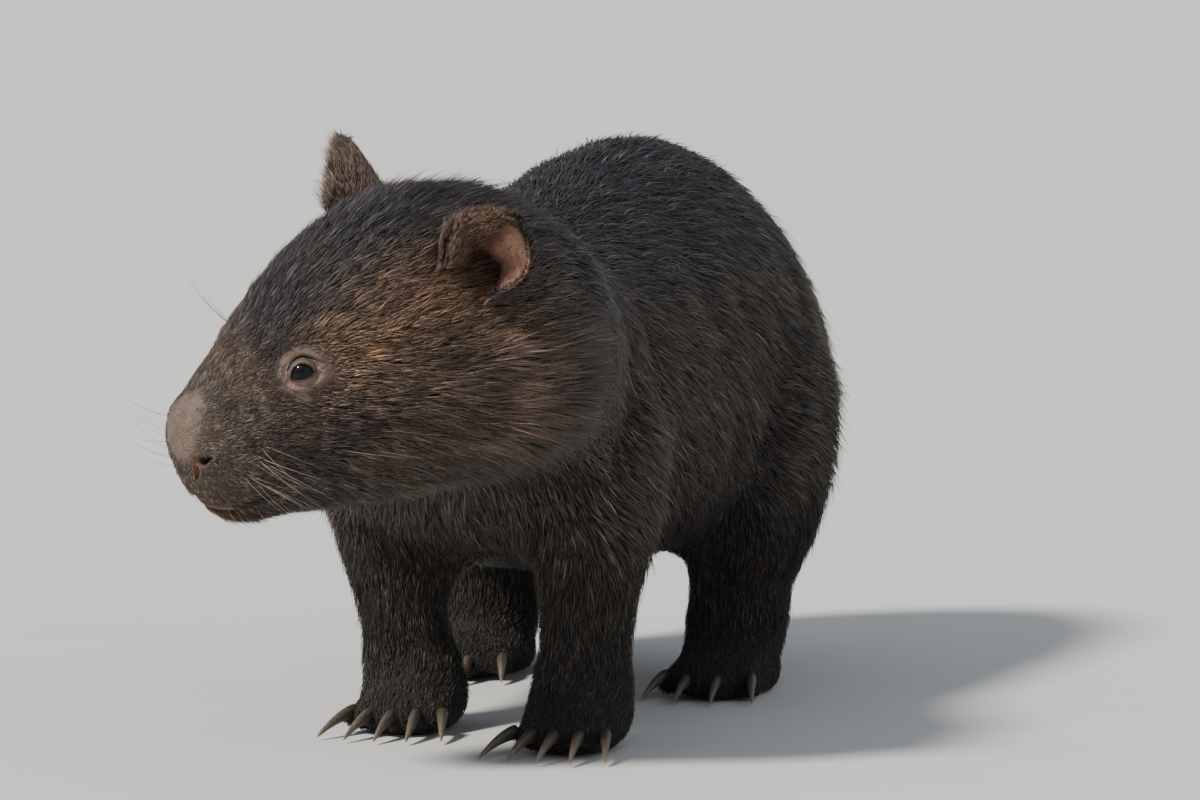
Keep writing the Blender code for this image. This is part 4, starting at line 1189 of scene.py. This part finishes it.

# %% [markdown]
# ## Materials
# Skin is dull where hair grows and a little shiny where it is bare. On the nose pad it is pebbled,
# in cells less than a millimetre across, with painted shade in the grooves between them. Hair is dull with a
# soft gloss along each lock.
# The eye is near black with a wet clear surface. Claws are horn, streaked along their length.


# %% A material in the making
class Finish:
    """Each method adds one node and gives back what it puts out."""

    def __init__(self, name):
        """A material with its shader, and the place on the object that patterns are read at."""
        self.material = bpy.data.materials.new(name)
        self.material.use_nodes = True
        self.nodes, self.links = self.material.node_tree.nodes, self.material.node_tree.links
        self.shader = self.nodes["Principled BSDF"]
        self.place = self.nodes.new("ShaderNodeTexCoord").outputs["Object"]

    def put(self, node, **given):
        """Sets each named socket to a number or colour, or joins it to another node's output."""
        for name, value in given.items():
            socket = node.inputs[name.replace("_", " ")]
            if isinstance(value, bpy.types.NodeSocket):
                self.links.new(value, socket)
            else:
                socket.default_value = value
        return node

    def attribute(self, name, output="Fac"):
        """What the mesh keeps at each point under a name."""
        made = self.nodes.new("ShaderNodeAttribute")
        made.attribute_name = name
        return made.outputs[output]

    def noise(self, scale, detail=3.0, stretch=None):
        """Cloudy noise over the place on the object, stretched where asked."""
        place = self.place
        if stretch:
            made = self.put(self.nodes.new("ShaderNodeMapping"), Scale=stretch, Vector=place)
            place = made.outputs["Vector"]
        made = self.nodes.new("ShaderNodeTexNoise")
        return self.put(made, Scale=scale, Detail=detail, Vector=place).outputs["Fac"]

    def ranged(self, value, low, high, to_low, to_high):
        """A linear map of one range to another."""
        ends = {"From_Min": low, "From_Max": high, "To_Min": to_low, "To_Max": to_high}
        return self.put(self.nodes.new("ShaderNodeMapRange"), Value=value, **ends).outputs["Result"]

    def grain(self, noise, low, high):
        """Noise's middle range as a factor from low to high."""
        return self.ranged(noise, 0.3, 0.7, low, high)

    def times(self, colour, factor):
        """A colour times a number."""
        made = self.nodes.new("ShaderNodeVectorMath")
        made.operation = "SCALE"
        return self.put(made, Vector=colour, Scale=factor).outputs["Vector"]

    def mixed(self, factor, low, high):
        """low * (1 - factor) + high * factor."""
        return self.put(self.nodes.new("ShaderNodeMix"), Factor=factor, A=low, B=high).outputs["Result"]

    def ramp(self, factor, *stops):
        """A colour by the factor, between two stops, each a position and a colour."""
        made = self.put(self.nodes.new("ShaderNodeValToRGB"), Fac=factor)
        for element, (position, colour) in zip(made.color_ramp.elements, stops):
            element.position, element.color = position, (*colour, 1)
        return made.outputs["Color"]

    def bump(self, height, strength, distance):
        """Raises the surface's light and shade by a height."""
        made = self.put(self.nodes.new("ShaderNodeBump"), Strength=strength, Distance=distance, Height=height)
        self.put(self.shader, Normal=made.outputs["Normal"])

    def done(self, **given):
        """Sets the shader's own sockets, and gives back the material."""
        self.put(self.shader, **given)
        return self.material


# %% What a piece is made of and stands for
def settle(piece, material, slot, *nodes):
    """Gives a piece its material, hides the solids it stands for and sets it on the body it rides on. The slot
    is not used.
    """
    piece.data.materials.append(material)
    if nodes:
        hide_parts(*nodes)
    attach(piece, "root")
    return piece


# %% Skin
def skin_finish():
    """Dull where hair grows and a little shiny where bare, blotched all over, and pebbled on the nose pad, with
    painted shade in the grooves between the pebbles and a little painted light on their tops.
    """
    skin = Finish("skin")
    bare_here, nose_here = skin.attribute("bare"), skin.attribute("nose")
    cells = skin.put(skin.nodes.new("ShaderNodeTexVoronoi"), Scale=820.0, Vector=skin.place)
    pebbles = skin.ranged(cells.outputs["Distance"], 0.0, 0.7, 1.0, 0.0)
    # painted shade in the grooves between the pebbles, and a little painted light on their tops
    pebble_shade_and_light = skin.ranged(pebbles, 0.2, 0.8, 0.55, 1.12)
    blotched = skin.times(skin.attribute("tone", "Color"), skin.grain(skin.noise(160.0, 4.0), 0.72, 1.22))
    skin.bump(skin.mixed(nose_here, skin.noise(900.0, 4.0), pebbles), 0.75, 0.0009)
    colour = skin.times(blotched, skin.mixed(nose_here, 1.0, pebble_shade_and_light))
    return skin.done(Base_Color=colour, Roughness=skin.mixed(bare_here, 0.92, 0.50))


flesh = [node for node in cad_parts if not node.startswith(("eye_", "foreclaw", "hindclaw"))]
settle(skin, skin_finish(), "coat_brown", *flesh)
print("skin stands for", len(flesh), "solids")


# %% Coat, eyes, claws and whiskers
def coat_finish():
    """Dull hair with a soft gloss along each lock and a fine grain of light and dark."""
    coat = Finish("coat")
    colour = coat.times(coat.attribute("tone", "Color"), coat.grain(coat.noise(1400.0, 2.0), 0.82, 1.20))
    return coat.done(
        Base_Color=colour, Roughness=coat.grain(coat.noise(260.0), 0.50, 0.68), Specular_IOR_Level=0.40
    )


def eye_finish():
    """Near black, a little browner out from the pupil, under a wet clear surface."""
    eye = Finish("eye")
    colour = eye.ramp(eye.attribute("iris"), (0.35, (0.0015, 0.0015, 0.002)), (0.55, (0.006, 0.0035, 0.0025)))
    rays = eye.grain(eye.noise(1300.0, 2.0), 0.6, 1.5)
    gloss = {"Roughness": 0.35, "Specular_IOR_Level": 0.05, "Coat_Weight": 0.40, "Coat_Roughness": 0.03}
    return eye.done(Base_Color=eye.times(colour, rays), **gloss)


def claw_finish():
    """Horn, dark at the root and pale at the tip, streaked and ridged along its length."""
    claw = Finish("claw")
    streaks = claw.noise(900.0, 4.0, stretch=(0.15, 1.0, 1.0))
    colour = claw.ramp(claw.attribute("along"), (0.0, (0.040, 0.028, 0.020)), (1.0, (0.150, 0.120, 0.088)))
    claw.bump(streaks, 0.4, 0.0004)
    colour = claw.times(colour, claw.grain(streaks, 0.60, 1.35))
    return claw.done(Base_Color=colour, Roughness=claw.grain(streaks, 0.35, 0.60))


def whisker_finish():
    """Smooth stiff hair in its own tone."""
    hair = Finish("whisker")
    grain = hair.grain(hair.noise(500.0), 0.85, 1.15)
    return hair.done(Base_Color=hair.times(hair.attribute("tone", "Color"), grain), Roughness=0.40)


# %% [markdown]
# ## Eyes
# A wombat's eye is small and dark, with hardly any white to be seen. The ball bulges a little at the cornea.


# %% Eyeballs
def eyeball(side, word):
    """A ball with radius R (0.995 + 0.045 exp(-(angle / 0.45)^2)) about the way it looks."""
    centre, out, forward, up = eye_frame(side)
    polar = np.linspace(0, math.pi, 50)[1:-1, None]
    turn = circle(56)
    radius = EYE_RADIUS * (0.995 + 0.045 * np.exp(-((polar / 0.45) ** 2)))
    rings = (
        (radius * np.cos(polar) * np.ones_like(turn))[..., None] * out
        + (radius * np.sin(polar) * np.cos(turn))[..., None] * forward
        + (radius * np.sin(polar) * np.sin(turn))[..., None] * up
    )
    ball = mesh_piece(f"eyeball_{word}", *closed_loft(rings + centre))
    iris = np.repeat(polar.ravel() / math.pi * 2.4, len(turn))
    note(ball, "iris", np.append(iris, [0.0, 1.0]))
    return settle(ball, eye_finish(), "eye", f"eye_{word}")


for side, word in SIDES:
    print(eyeball(side, word).name, "at", np.round(EYE_CENTRES[side], 4).tolist())

# %% [markdown]
# ## Claws
# A wombat digs, so its claws are long, stout and slightly curved, and worn pale at the tips.
# Each is a tapered horn along a falling path, a little taller than it is wide.


# %% Claws
def claw_rings(spot, way, length, rows=16, around=14):
    """Path = spot + way * L (1.25 t - 0.15), falling as t^1.7, radius R (1 - 0.8 t^1.3), blunt tip."""
    t = np.linspace(0, 1, rows)[:, None, None]
    angle = circle(around)[None, :, None]
    height = CLAW_ROOT_HEIGHT - (CLAW_ROOT_HEIGHT - CLAW_TIP_HEIGHT) * t**1.7
    blunt = np.sqrt(np.clip(1 - 0.97 * np.clip(t * 6 - 5, 0, 1) ** 2, 0, 1))
    radius = CLAW_RADIUS * (1 - 0.8 * t**1.3) * blunt
    aside = np.array((-way[1], way[0], 0.0))
    path = spot + way * (length * (1.25 * t - 0.15)) + height * (0, 0, 1)
    flat = 0.80 * np.cos(angle) * (1 - 0.18 * np.clip(-np.sin(angle), 0, 1))
    return path + radius * flat * aside + radius * 0.98 * np.sin(angle) * (0, 0, 1)


def claws(name):
    """All the claws of one foot, as one piece."""
    length = FORE_CLAW if name.startswith("fore") else HIND_CLAW
    rings = [claw_rings(spot - (*BOX_MIDDLE, 0), way, length) for spot, way in zip(*toe_rows(name))]
    piece = mesh_piece(name.replace("leg", "claws"), *merged([closed_loft(r) for r in rings]))
    rows, around, _ = rings[0].shape
    along = np.append(np.repeat(np.linspace(0, 1, rows), around), [0.0, 1.0])
    note(piece, "along", np.tile(along, len(rings)))
    nodes = [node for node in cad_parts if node.startswith(name.replace("leg", "claw"))]
    settle(piece, claw_finish(), "claw", *nodes)
    return len(nodes)


print("claws", sum(claws(name) for name in FOOT_STANDS))

# %% [markdown]
# ## Whiskers
# Stiff long hairs stand in rows on the pads beside the nose, and a few more on the cheek and over the eye.
# Those near the nose are dark and those on the pads pale, as in the photograph.


# %% Sizes of the whiskers
PALE, DARK = (0.46, 0.37, 0.29), (0.030, 0.024, 0.022)
WHISKER_GROUPS = (  # count, centre of the roots, their spread, way, bend, length in millimetres, colour
    (14, (13.4, 4.0, -8.8), (0.7, 0.2, 0.8), (-0.42, 0.70, -0.50), (-0.35, 0.0, -0.22), 34, PALE),
    (9, (14.5, 3.2, -8.6), (0.5, 0.2, 0.8), (0.60, 0.75, 0.10), (-0.25, 0.1, 0.15), 52, DARK),
    (8, (13.0, 2.2, -12.2), (0.9, 0.5, 0.3), (-0.05, 0.45, -0.80), (-0.40, 0.1, 0.10), 20, PALE),
    (5, (7.4, 6.2, -8.7), (0.7, 0.2, 0.5), (-0.60, 0.70, -0.28), (-0.45, 0.0, -0.05), 30, PALE),
    (5, (10.9, 4.4, -2.0), (0.4, 0.2, 0.3), (0.60, 0.45, 0.62), (-0.20, 0.2, 0.30), 36, DARK),
)
WHISKER_ROOM = 0.014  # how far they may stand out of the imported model's box
SHORTEST = 0.008
print("whiskers on each side", sum(group[0] for group in WHISKER_GROUPS))


# %% Whiskers
def on_skin(h):
    """The skin's point that is nearest to a place beside the head."""
    return body_points[int(np.argmin(np.sum((body_points - from_head(h)) ** 2, axis=1)))]


def whisker(root, way, bend, length, thick, rows=14, around=5):
    """Root + way * L t + bend * L t*t, with a radius that falls from half of thick to a tenth of that."""
    t = np.linspace(0, 1, rows)[:, None, None]
    angle = circle(around)[None, :, None]
    side = unit(np.cross(way, (0.1, 0.2, 1.0)))
    other = np.cross(way, side)
    path = root + way * (length * t) + bend * (length * t**2)
    return path + thick / 2 * (1 - 0.9 * t) * (np.cos(angle) * side + np.sin(angle) * other)


def in_room(rings):
    """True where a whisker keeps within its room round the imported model's box."""
    low, high = rings.min(axis=(0, 1)), rings.max(axis=(0, 1))
    return np.all(low > np.array(cad_low) - WHISKER_ROOM) and np.all(high < np.array(cad_high) + WHISKER_ROOM)


def whiskers():
    """Every group on both sides, with chance in place, way, length and tone, none too long for its room."""
    bodies, tones = [], []
    for count, centre, spread, way, bend, length, tone in WHISKER_GROUPS:
        for side in [side for side, _ in SIDES for _ in range(count)]:
            root = on_skin((np.array(centre) + rng.normal(size=3) * spread) * (1, side, 1))
            aim = HEAD_AXES @ unit(mirrored(way, side) + rng.normal(size=3) * 0.17)
            arch = HEAD_AXES @ (mirrored(bend, side) + rng.normal(size=3) * 0.08)
            size, thick = length * MM * rng.uniform(0.55, 1.15), rng.uniform(0.17, 0.26) * MM
            rings = whisker(root, aim, arch, size, thick)
            while size > SHORTEST and not in_room(rings):
                size *= 0.85
                rings = whisker(root, aim, arch, size, thick)
            bodies.append(closed_loft(rings))
            tones.append(np.tile(np.array(tone) * rng.uniform(0.7, 1.25), (len(bodies[-1][0]), 1)))
    piece = mesh_piece("whiskers", *merged(bodies))
    paint(piece, "tone", np.vstack(tones))
    settle(piece, whisker_finish(), "whisker")
    return len(bodies)


print("whiskers", whiskers())

# %% [markdown]
# ## Which way the hair lies
# Hair lies back along the body and down the sides, down the legs, and forward over the toes.
# On the head it runs from the nose to the ears, parts round the eye, and stands up a little on the crown.
# The way at each place is a smooth field, laid flat on the skin and then lifted by a few degrees.


# %% The field of hair
def hair_way(points, normals):
    """The field of ways, blended from head to trunk to legs, and laid into the skin's plane."""
    h = to_head(points)
    side = normals[:, 1]
    ways = np.stack([-np.ones(len(points)), 0.25 * side, -0.15 - 0.60 * side**2], 1)
    leg = leg_weight(points)[:, None]
    ways = ways * (1 - leg) + np.array((-0.15, 0, -1.0)) * leg
    foot = foot_weight(points)[:, None]
    ways = ways * (1 - foot) + np.array((0.85, 0, -0.55)) * foot
    low = smooth(-7.5, -11.5, h[:, 2])
    high = smooth(-4.0, -0.5, h[:, 2])
    aside = np.sign(h[:, 1]) * smooth(0.5, 2.5, np.abs(h[:, 1]))
    face = np.stack([-np.ones(len(points)), 0.12 * aside * high, -0.10 - 0.35 * low + 0.12 * high], 1)
    for eye_side, _ in SIDES:
        forward, up, height = around_eye(points, eye_side)
        reach = np.hypot(forward, up)
        near = 0.9 * np.exp(-((reach / 13.0) ** 2)) * (height > -4)
        away = np.stack([forward, up], 1) / np.maximum(reach, 1e-6)[:, None]
        _, _, ahead, above = eye_frame(eye_side)
        push = away[:, :1] * (ahead @ HEAD_AXES) + away[:, 1:] * (above @ HEAD_AXES)
        face = face + push * near[:, None]
    head = smooth(0.15, 0.75, head_weight(h))[:, None]
    ways = ways * (1 - head) + (face @ HEAD_AXES.T) * head
    ways = ways - normals * np.sum(ways * normals, axis=1, keepdims=True)
    return unit(ways)


# %% How long and raised the hair is
TAIL_HAIR_START = (-0.350, -0.360)  # along the trunk


def hair_length(points):
    """Millimetres of hair showing: long on the trunk and jaw, short on the muzzle, ears and toes."""
    h = to_head(points)
    x, y, z = h.T
    ground = 1 - smooth(0.005, 0.03, points[:, 2])
    body = 21.0 - 9.0 * leg_weight(points) - 5.0 * foot_weight(points) - 2.0 * ground
    body = body * (1 - 0.55 * smooth(*TAIL_HAIR_START, points[:, 0]))
    crown = smooth(5.0, 0.5, x) * smooth(-3.0, 0.5, z)
    ruff = smooth(8.5, 4.0, x) * smooth(4.0, 6.5, np.abs(y)) * smooth(-3.5, -6.0, z)
    mane = ruff * smooth(4.5, 0.5, x)
    muzzle, tip = smooth(7.5, 12.5, x), smooth(13.0, 15.0, x)
    face = 12.0 + 5.0 * ruff + 7.0 * mane + 4.0 * crown - 7.4 * muzzle - 1.7 * tip
    face = face + 3.5 * smooth(-10.6, -12.0, z) * smooth(7.5, 11.0, x)
    return by_head(h, face * (0.36 + 0.64 * smooth(9.0, 24.0, eye_distance(points))), body)


def hair_lift(points):
    """Degrees that hair stands off the skin: most on the crown and at the rear edge of the cheek."""
    h = to_head(points)
    x, y, z = h.T
    crown = smooth(6.0, 0.5, x) * smooth(-2.5, 0.5, z)
    ruff = smooth(8.0, 3.0, x) * smooth(-4.0, -7.0, z)
    edge = smooth(4.0, 0.5, x) * smooth(4.0, 6.5, np.abs(y)) * smooth(-2.0, -5.0, z)
    face = 12.0 + 19.0 * crown + 8.0 * ruff + 13.0 * edge + 9.0 * smooth(-10.5, -12.5, z)
    return by_head(h, face, 10.5 + 2.0 * smooth(-0.24, -0.34, points[:, 0]) - 1.0 * leg_weight(points))


# %% How wide and dense the hair is
def hair_width(points):
    """Millimetres across a tuft, less on the face and feet."""
    h = to_head(points)
    face = 0.60 - 0.22 * smooth(7.0, 13.5, h[:, 0])
    return by_head(h, face, 0.74 - 0.14 * leg_weight(points) - 0.08 * foot_weight(points))


def hair_density(points):
    """Tufts on a square millimetre, before the count is set."""
    h = to_head(points)
    face = 0.88 + 0.95 * smooth(8.0, 13.0, h[:, 0])
    body = 0.27 + 0.05 * leg_weight(points) + 0.10 * foot_weight(points)
    return by_head(h, face, body) * (1 - bareness(points)) ** 2


def clump_share(points):
    """How far the tips of neighbours lean together."""
    h = to_head(points)
    return by_head(h, 0.35 + 0.40 * smooth(10.5, 6.0, h[:, 0]) * smooth(0.5, -3.0, h[:, 2]), 0.34)


# %% [markdown]
# ## Growing the coat
# Each tuft is a thin spindle of six triangles: a root sunk in the skin, a flattened triangular middle
# and a tip that bends back towards the body. Roots are spread evenly over the skin with a little chance.
# Tufts vary in length, width, tone and lean, and slow waves lean neighbours together, as fur clumps.


# %% The shape of a tuft
TUFTS = 236000
# points: 0 the root, 1 and 2 the sides, 3 the top of the middle, 4 the tip
TUFT_FACES = np.array(((3, 1, 0), (2, 3, 0), (1, 2, 0), (1, 3, 4), (3, 2, 4), (2, 1, 4)))
ROOT_DEPTH = 0.0010
MIDDLE, ARCH, TIP_BEND, DROOP = 0.42, 0.050, 0.055, 0.03  # against the tuft's length
# painted shade and sheen: each tuft darkens towards its root for the shade deep in the coat, and pales towards
# its tip, partly the hair's own paler tip and partly a painted sheen
TUFT_SHADE_AND_SHEEN = np.array((0.25, 0.80, 0.80, 0.95, 1.90))  # dark at the root, pale at the tip
TUFT_PATCH = np.array(((0.0, -0.0015), (-0.0013, 0.0), (0.0013, 0.0), (0.0, 0.0004), (0.0, 0.0015)))


def scattered(points, triangles, normals, weight, count):
    """Places on a surface by area times weight, taken in even steps so that they spread well."""
    a, b, c = (points[triangles[:, n]] for n in range(3))
    area = np.linalg.norm(np.cross(b - a, c - a), axis=1) / 2 * weight
    share = np.cumsum(area) / area.sum()
    pick = np.searchsorted(share, (np.arange(count) + rng.random(count)) / count)
    pick = np.minimum(pick, len(triangles) - 1)
    first, second = np.sqrt(rng.random(count))[:, None], rng.random(count)[:, None]
    mix = (1 - first, first * (1 - second), first * second)
    corners = triangles[pick]
    place = sum(m * points[corners[:, n]] for n, m in enumerate(mix))
    normal = unit(sum(m * normals[corners[:, n]] for n, m in enumerate(mix)))
    return place, normal, area.sum() * 1e6


def spindles(roots, normals, ways, lengths, widths, tones):
    """Points (count, 5, 3) and colours of the tufts: a sunk root, three points round the middle, a tip."""
    side = unit(np.cross(normals, ways))
    above = np.cross(ways, side)
    length, width = lengths[:, None], widths[:, None]
    middle = roots + ways * length * MIDDLE + above * length * ARCH
    tip = roots + ways * length - above * length * TIP_BEND - np.array((0, 0, DROOP)) * length
    sides = middle + side * width / 2, middle - side * width / 2, middle + above * width * 0.35
    made = np.stack([roots - normals * ROOT_DEPTH, *sides, tip], axis=1)
    # colours with painted shade at the root and a partly painted sheen at the tip
    return made, tones[:, None, :] * TUFT_SHADE_AND_SHEEN[None, :, None]


# %% Clumps and tones
def clumped(roots, normals, ways, size, seed):
    """For each root, the way across the skin to the middle of its clump, and the clump's own random number.

    Space is bent by slow waves and cut into cells of one size, and each cell has a middle placed by chance.
    """
    bend = np.stack([waves(roots, size * 4.5, seed + n) for n in range(3)], 1) * size * 0.7
    bent = (roots + bend) / size
    cell = np.floor(bent).astype(np.int64)
    key = (cell[:, 0] * 73856093) ^ (cell[:, 1] * 19349663) ^ (cell[:, 2] * 83492791) ^ (seed * 2654435761)
    chance = [((key * k) % 65521) / 65521 for k in (48271, 69621, 16807, 39373)]
    middle = cell + 0.5 + 0.6 * (np.stack(chance[:3], 1) - 0.5)
    toward = (middle - bent) * size
    toward = toward - normals * np.sum(toward * normals, axis=1, keepdims=True)
    toward = toward - 0.7 * ways * np.sum(toward * ways, axis=1, keepdims=True)
    return toward, chance[3]


def varied_tones(roots, colour):
    """Each tuft's tone: waves, chance, a few pale hairs and a few dark ones, and a little warmth or cold."""
    count = len(roots)
    tone = np.exp(0.20 * waves(roots, 0.010, 51) + 0.13 * waves(roots, 0.0042, 52))
    tone = tone * np.exp(0.32 * rng.normal(size=count))
    chance = rng.random(count)
    tone = np.where(chance < 0.10, tone * 1.75, np.where(chance > 0.88, tone * 0.45, tone))
    warm = 1 + 0.07 * rng.normal(size=(count, 1)) * np.array((1.0, 0.2, -0.8))
    return colour * tone[:, None] * warm


def leaned(ways, normals, points, lift, spread):
    """Turns each way in the skin's plane by waves and chance, and lifts it off the skin."""
    slow = 9.0 * waves(points, 0.014, 61) + 8.0 * waves(points, 0.045, 62)
    turn = np.radians(slow + spread * rng.normal(size=len(ways)))
    flat = ways * np.cos(turn)[:, None] + np.cross(normals, ways) * np.sin(turn)[:, None]
    lift = lift * (1 + 0.30 * waves(points, 0.011, 63)) + 4.0 * rng.normal(size=len(ways))
    up = np.radians(np.clip(lift, 2.0, 60.0))
    return unit(flat * np.cos(up)[:, None] + normals * np.sin(up)[:, None])


# %% [markdown]
# Each coat piece needs a map for when its colours are baked to a picture. Hair can't be unwrapped as
# a whole, so each tuft is a small patch at its root's place on a simple unwrap of the body: the angle round
# the trunk, head or leg against the length. Neighbours overlap there, and their colours are nearly alike.

# %% The map and the pieces
FOOT_REACH = 0.085  # metres round and over a foot that are mapped as the foot's own
fur = coat_finish()


def around_length(across, up, along, start, length, corner, size):
    """A place in a box of the map: the angle round an axis to the right, the share of a length up."""
    angle = np.arctan2(across, up) / (2 * math.pi) + 0.5
    share = np.clip((along - start) / length, 0, 1)
    return np.stack([corner[0] + size[0] * angle, corner[1] + size[1] * share], 1)


def unwrap(points):
    """A flat place from 0 to 1 for any place on the skin, in boxes for the trunk, the head and each foot."""
    h = to_head(points)
    x, y, z = points.T
    flat = around_length(y, z - 0.19, x, -0.40, 0.80, (0.02, 0.02), (0.56, 0.46))
    head_flat = around_length(h[:, 1], h[:, 2] + 6.5, h[:, 0], -8, 25, (0.02, 0.52), (0.56, 0.46))
    flat = np.where((head_weight(h) > 0.5)[:, None], head_flat, flat)
    for n, (stand, aside) in enumerate(FOOT_STANDS.values()):
        ahead, across = x - stand + BOX_MIDDLE[0], y - aside + BOX_MIDDLE[1]
        here = (np.hypot(ahead, across) < FOOT_REACH) & (z < FOOT_REACH)
        corner = (0.62 + 0.19 * (n % 2), 0.03 + 0.5 * (n // 2))
        leg_flat = around_length(across, ahead, z, 0, FOOT_REACH, corner, (0.16, 0.42))
        flat = np.where(here[:, None], leg_flat, flat)
    return flat


def coat_piece(name, made, tones, roots):
    """One object of many tufts, with its colours and its map."""
    count = len(made)
    faces = (TUFT_FACES[None] + 5 * np.arange(count)[:, None, None]).reshape(-1, 3)
    piece = mesh_piece(name, made.reshape(-1, 3), faces)
    paint(piece, "tone", tones.reshape(-1, 3))
    layer = piece.data.uv_layers.new(name="OFBake")
    flat = unwrap(roots)[:, None, :] + TUFT_PATCH[TUFT_FACES.ravel()][None]
    layer.data.foreach_set("uv", flat.astype(np.float32).ravel())
    settle(piece, fur, "coat")
    print(name, 6 * count, "triangles")


# %% [markdown]
# Now the coat grows. The order is: roots, ways, lengths and widths, tones, and then the clumps, which pull
# the tips of neighbours together and give each lock its own tone.

# %% Grow the coat
body_normals = point_normals(body_points, body_triangles)
density = hair_density(body_points[body_triangles].mean(axis=1))
roots, normals, wanted = scattered(body_points, body_triangles, body_normals, density, TUFTS)
print("tufts wanted by density", round(wanted), "made", TUFTS)
ways = leaned(hair_way(roots, normals), normals, roots, hair_lift(roots), 6.5)
lengths = hair_length(roots) * MM * np.exp(0.20 * rng.normal(size=TUFTS))
thin = rng.random(TUFTS) < 0.45
lengths = lengths * np.where(thin, 1.08, 0.92)
widths = hair_width(roots) * MM * np.where(thin, 0.55, 1.15) * np.exp(0.15 * rng.normal(size=TUFTS))
tones = varied_tones(roots, coat_colour(roots))

# %% Pull the tips together
LOCK, WISP = 0.0080, 0.0035  # metres across the larger and the smaller clumps
to_lock, lock_chance = clumped(roots, normals, ways, LOCK, 71)
to_wisp, wisp_chance = clumped(roots, normals, ways, WISP, 72)
tones = tones * np.exp(0.55 * (lock_chance - 0.5) + 0.75 * (wisp_chance - 0.5))[:, None]
made, tones = spindles(roots, normals, ways, lengths, widths, tones)
pull = (0.7 * to_lock + 1.1 * to_wisp) * clump_share(roots)[:, None]
made[:, 4] += pull
made[:, 1:4] += (pull * 0.30)[:, None, :]
made[:, :, 2] = np.maximum(made[:, :, 2], LOWEST_HAIR)
print("tips pulled by up to", round(float(np.linalg.norm(pull, axis=1).max()) / MM, 1), "mm")

# %% Coat pieces
h = to_head(roots)
on_head = head_weight(h) > 0.5
on_leg = ~on_head & (roots[:, 2] < 0.10)
PIECES = (  # name, which tufts, what they are cut along, into how many
    ("head", on_head, h[:, 0], 5),
    ("trunk", ~on_head & ~on_leg, roots[:, 0], 3),
    ("legs", on_leg, roots[:, 0], 2),
)
for word, chosen, along, parts in PIECES:
    limits = np.quantile(along[chosen], np.linspace(0, 1, parts + 1))
    limits[0], limits[-1] = -np.inf, np.inf
    for n in range(parts):
        here = chosen & (along >= limits[n]) & (along < limits[n + 1])
        coat_piece(f"coat_{word}_{n + 1}", made[here], tones[here], roots[here])

# %% [markdown]
# ## Fur on the ears
# Short dense fur covers the backs and the front half of each cup and runs to the tip.
# The rims carry a fringe, and the pink half of the cup is all but bare.


# %% Ear fur
EAR_TUFTS = 7000


def root_facts(roots, points, *facts):
    """Each fact of the surface at the point nearest to each root, five hundred roots at a time."""
    found = np.empty(len(roots), int)
    for start in range(0, len(roots), 500):
        some = roots[start : start + 500]
        found[start : start + 500] = np.argmin(np.sum((some[:, None] - points[None]) ** 2, axis=2), axis=1)
    return [fact[found] for fact in facts]


def ear_fur_weight(inner, across, height):
    """Dense on the back, the front half of the cup, the rims and the tip, and thin on the pink half."""
    rim = smooth(0.78, 0.95, np.abs(across)) + smooth(0.80, 0.95, height)
    furred = 0.03 + 1.6 * smooth(-0.12, -0.30, across) + 0.9 * smooth(0.72, 0.88, height)
    weight = np.where(inner > 0.5, furred * (1 - 0.85 * bald_spot(across, height)), 1.0) + 1.3 * rim
    return weight * (height > -0.05)


def ear_fur(side, word):
    """Short tufts that lie towards the ear's tip, and a longer fringe on its front rim."""
    points, triangles, inside, edge, height = ears[side]
    normals = point_normals(points, triangles)
    inner, across, t = (fact[triangles].mean(axis=1) for fact in (inside, edge * side, height))
    weight = ear_fur_weight(inner, across, t)
    roots, normals, _ = scattered(points, triangles, normals, weight, EAR_TUFTS)
    inner, across, t = root_facts(roots, points, inside, edge * side, height)
    axis = HEAD_AXES @ unit(mirrored(EAR_AXIS, side))
    flat = unit(axis - normals * (normals @ axis)[:, None])
    ways = leaned(flat, normals, roots, 14.0 + 12.0 * smooth(0.6, 0.95, np.abs(across)), 13.0)
    lengths = 6.0 + 1.0 * (inner < 0.5) - 1.8 * smooth(0.75, 1.0, t) + 3.5 * smooth(-0.6, -0.9, across)
    lengths = lengths * MM * np.exp(0.22 * rng.normal(size=len(roots)))
    widths = 0.38 * MM * np.exp(0.15 * rng.normal(size=len(roots)))
    colour = painted(
        EAR_BACK,
        (inner * smooth(0.0, -0.3, across), EAR_TAN),
        (0.85 * smooth(0.62, 0.95, t) * (1 - 0.8 * inner), EAR_TIP),
        (0.85 * smooth(0.72, 0.95, across), EAR_TIP),
    )
    made, tones = spindles(roots, normals, ways, lengths, widths, varied_tones(roots, colour))
    coat_piece(f"coat_ear_{word}", made, tones, roots)


for side, word in SIDES:
    ear_fur(side, word)

# %% [markdown]
# ## Floor
# One wide pale plane, so that the soles and claws have something to stand on and to throw a soft shade on.


# %% Floor
FLOOR_HALF = 80.0


def floor_finish():
    """Matt and pale, with slow faint clouds."""
    matt = Finish("floor")
    colour = matt.ramp(matt.noise(6.0), (0.0, (0.58, 0.58, 0.56)), (1.0, (0.64, 0.64, 0.62)))
    return matt.done(Base_Color=colour, Roughness=0.85)


corners = np.array(((-1, -1, 0), (1, -1, 0), (1, 1, 0), (-1, 1, 0))) * FLOOR_HALF
floor = mesh_piece("floor", corners, np.array(((0, 1, 2), (0, 2, 3))), rounded=False)
floor.data.materials.append(floor_finish())
print("floor", 2 * FLOOR_HALF, "metres across")
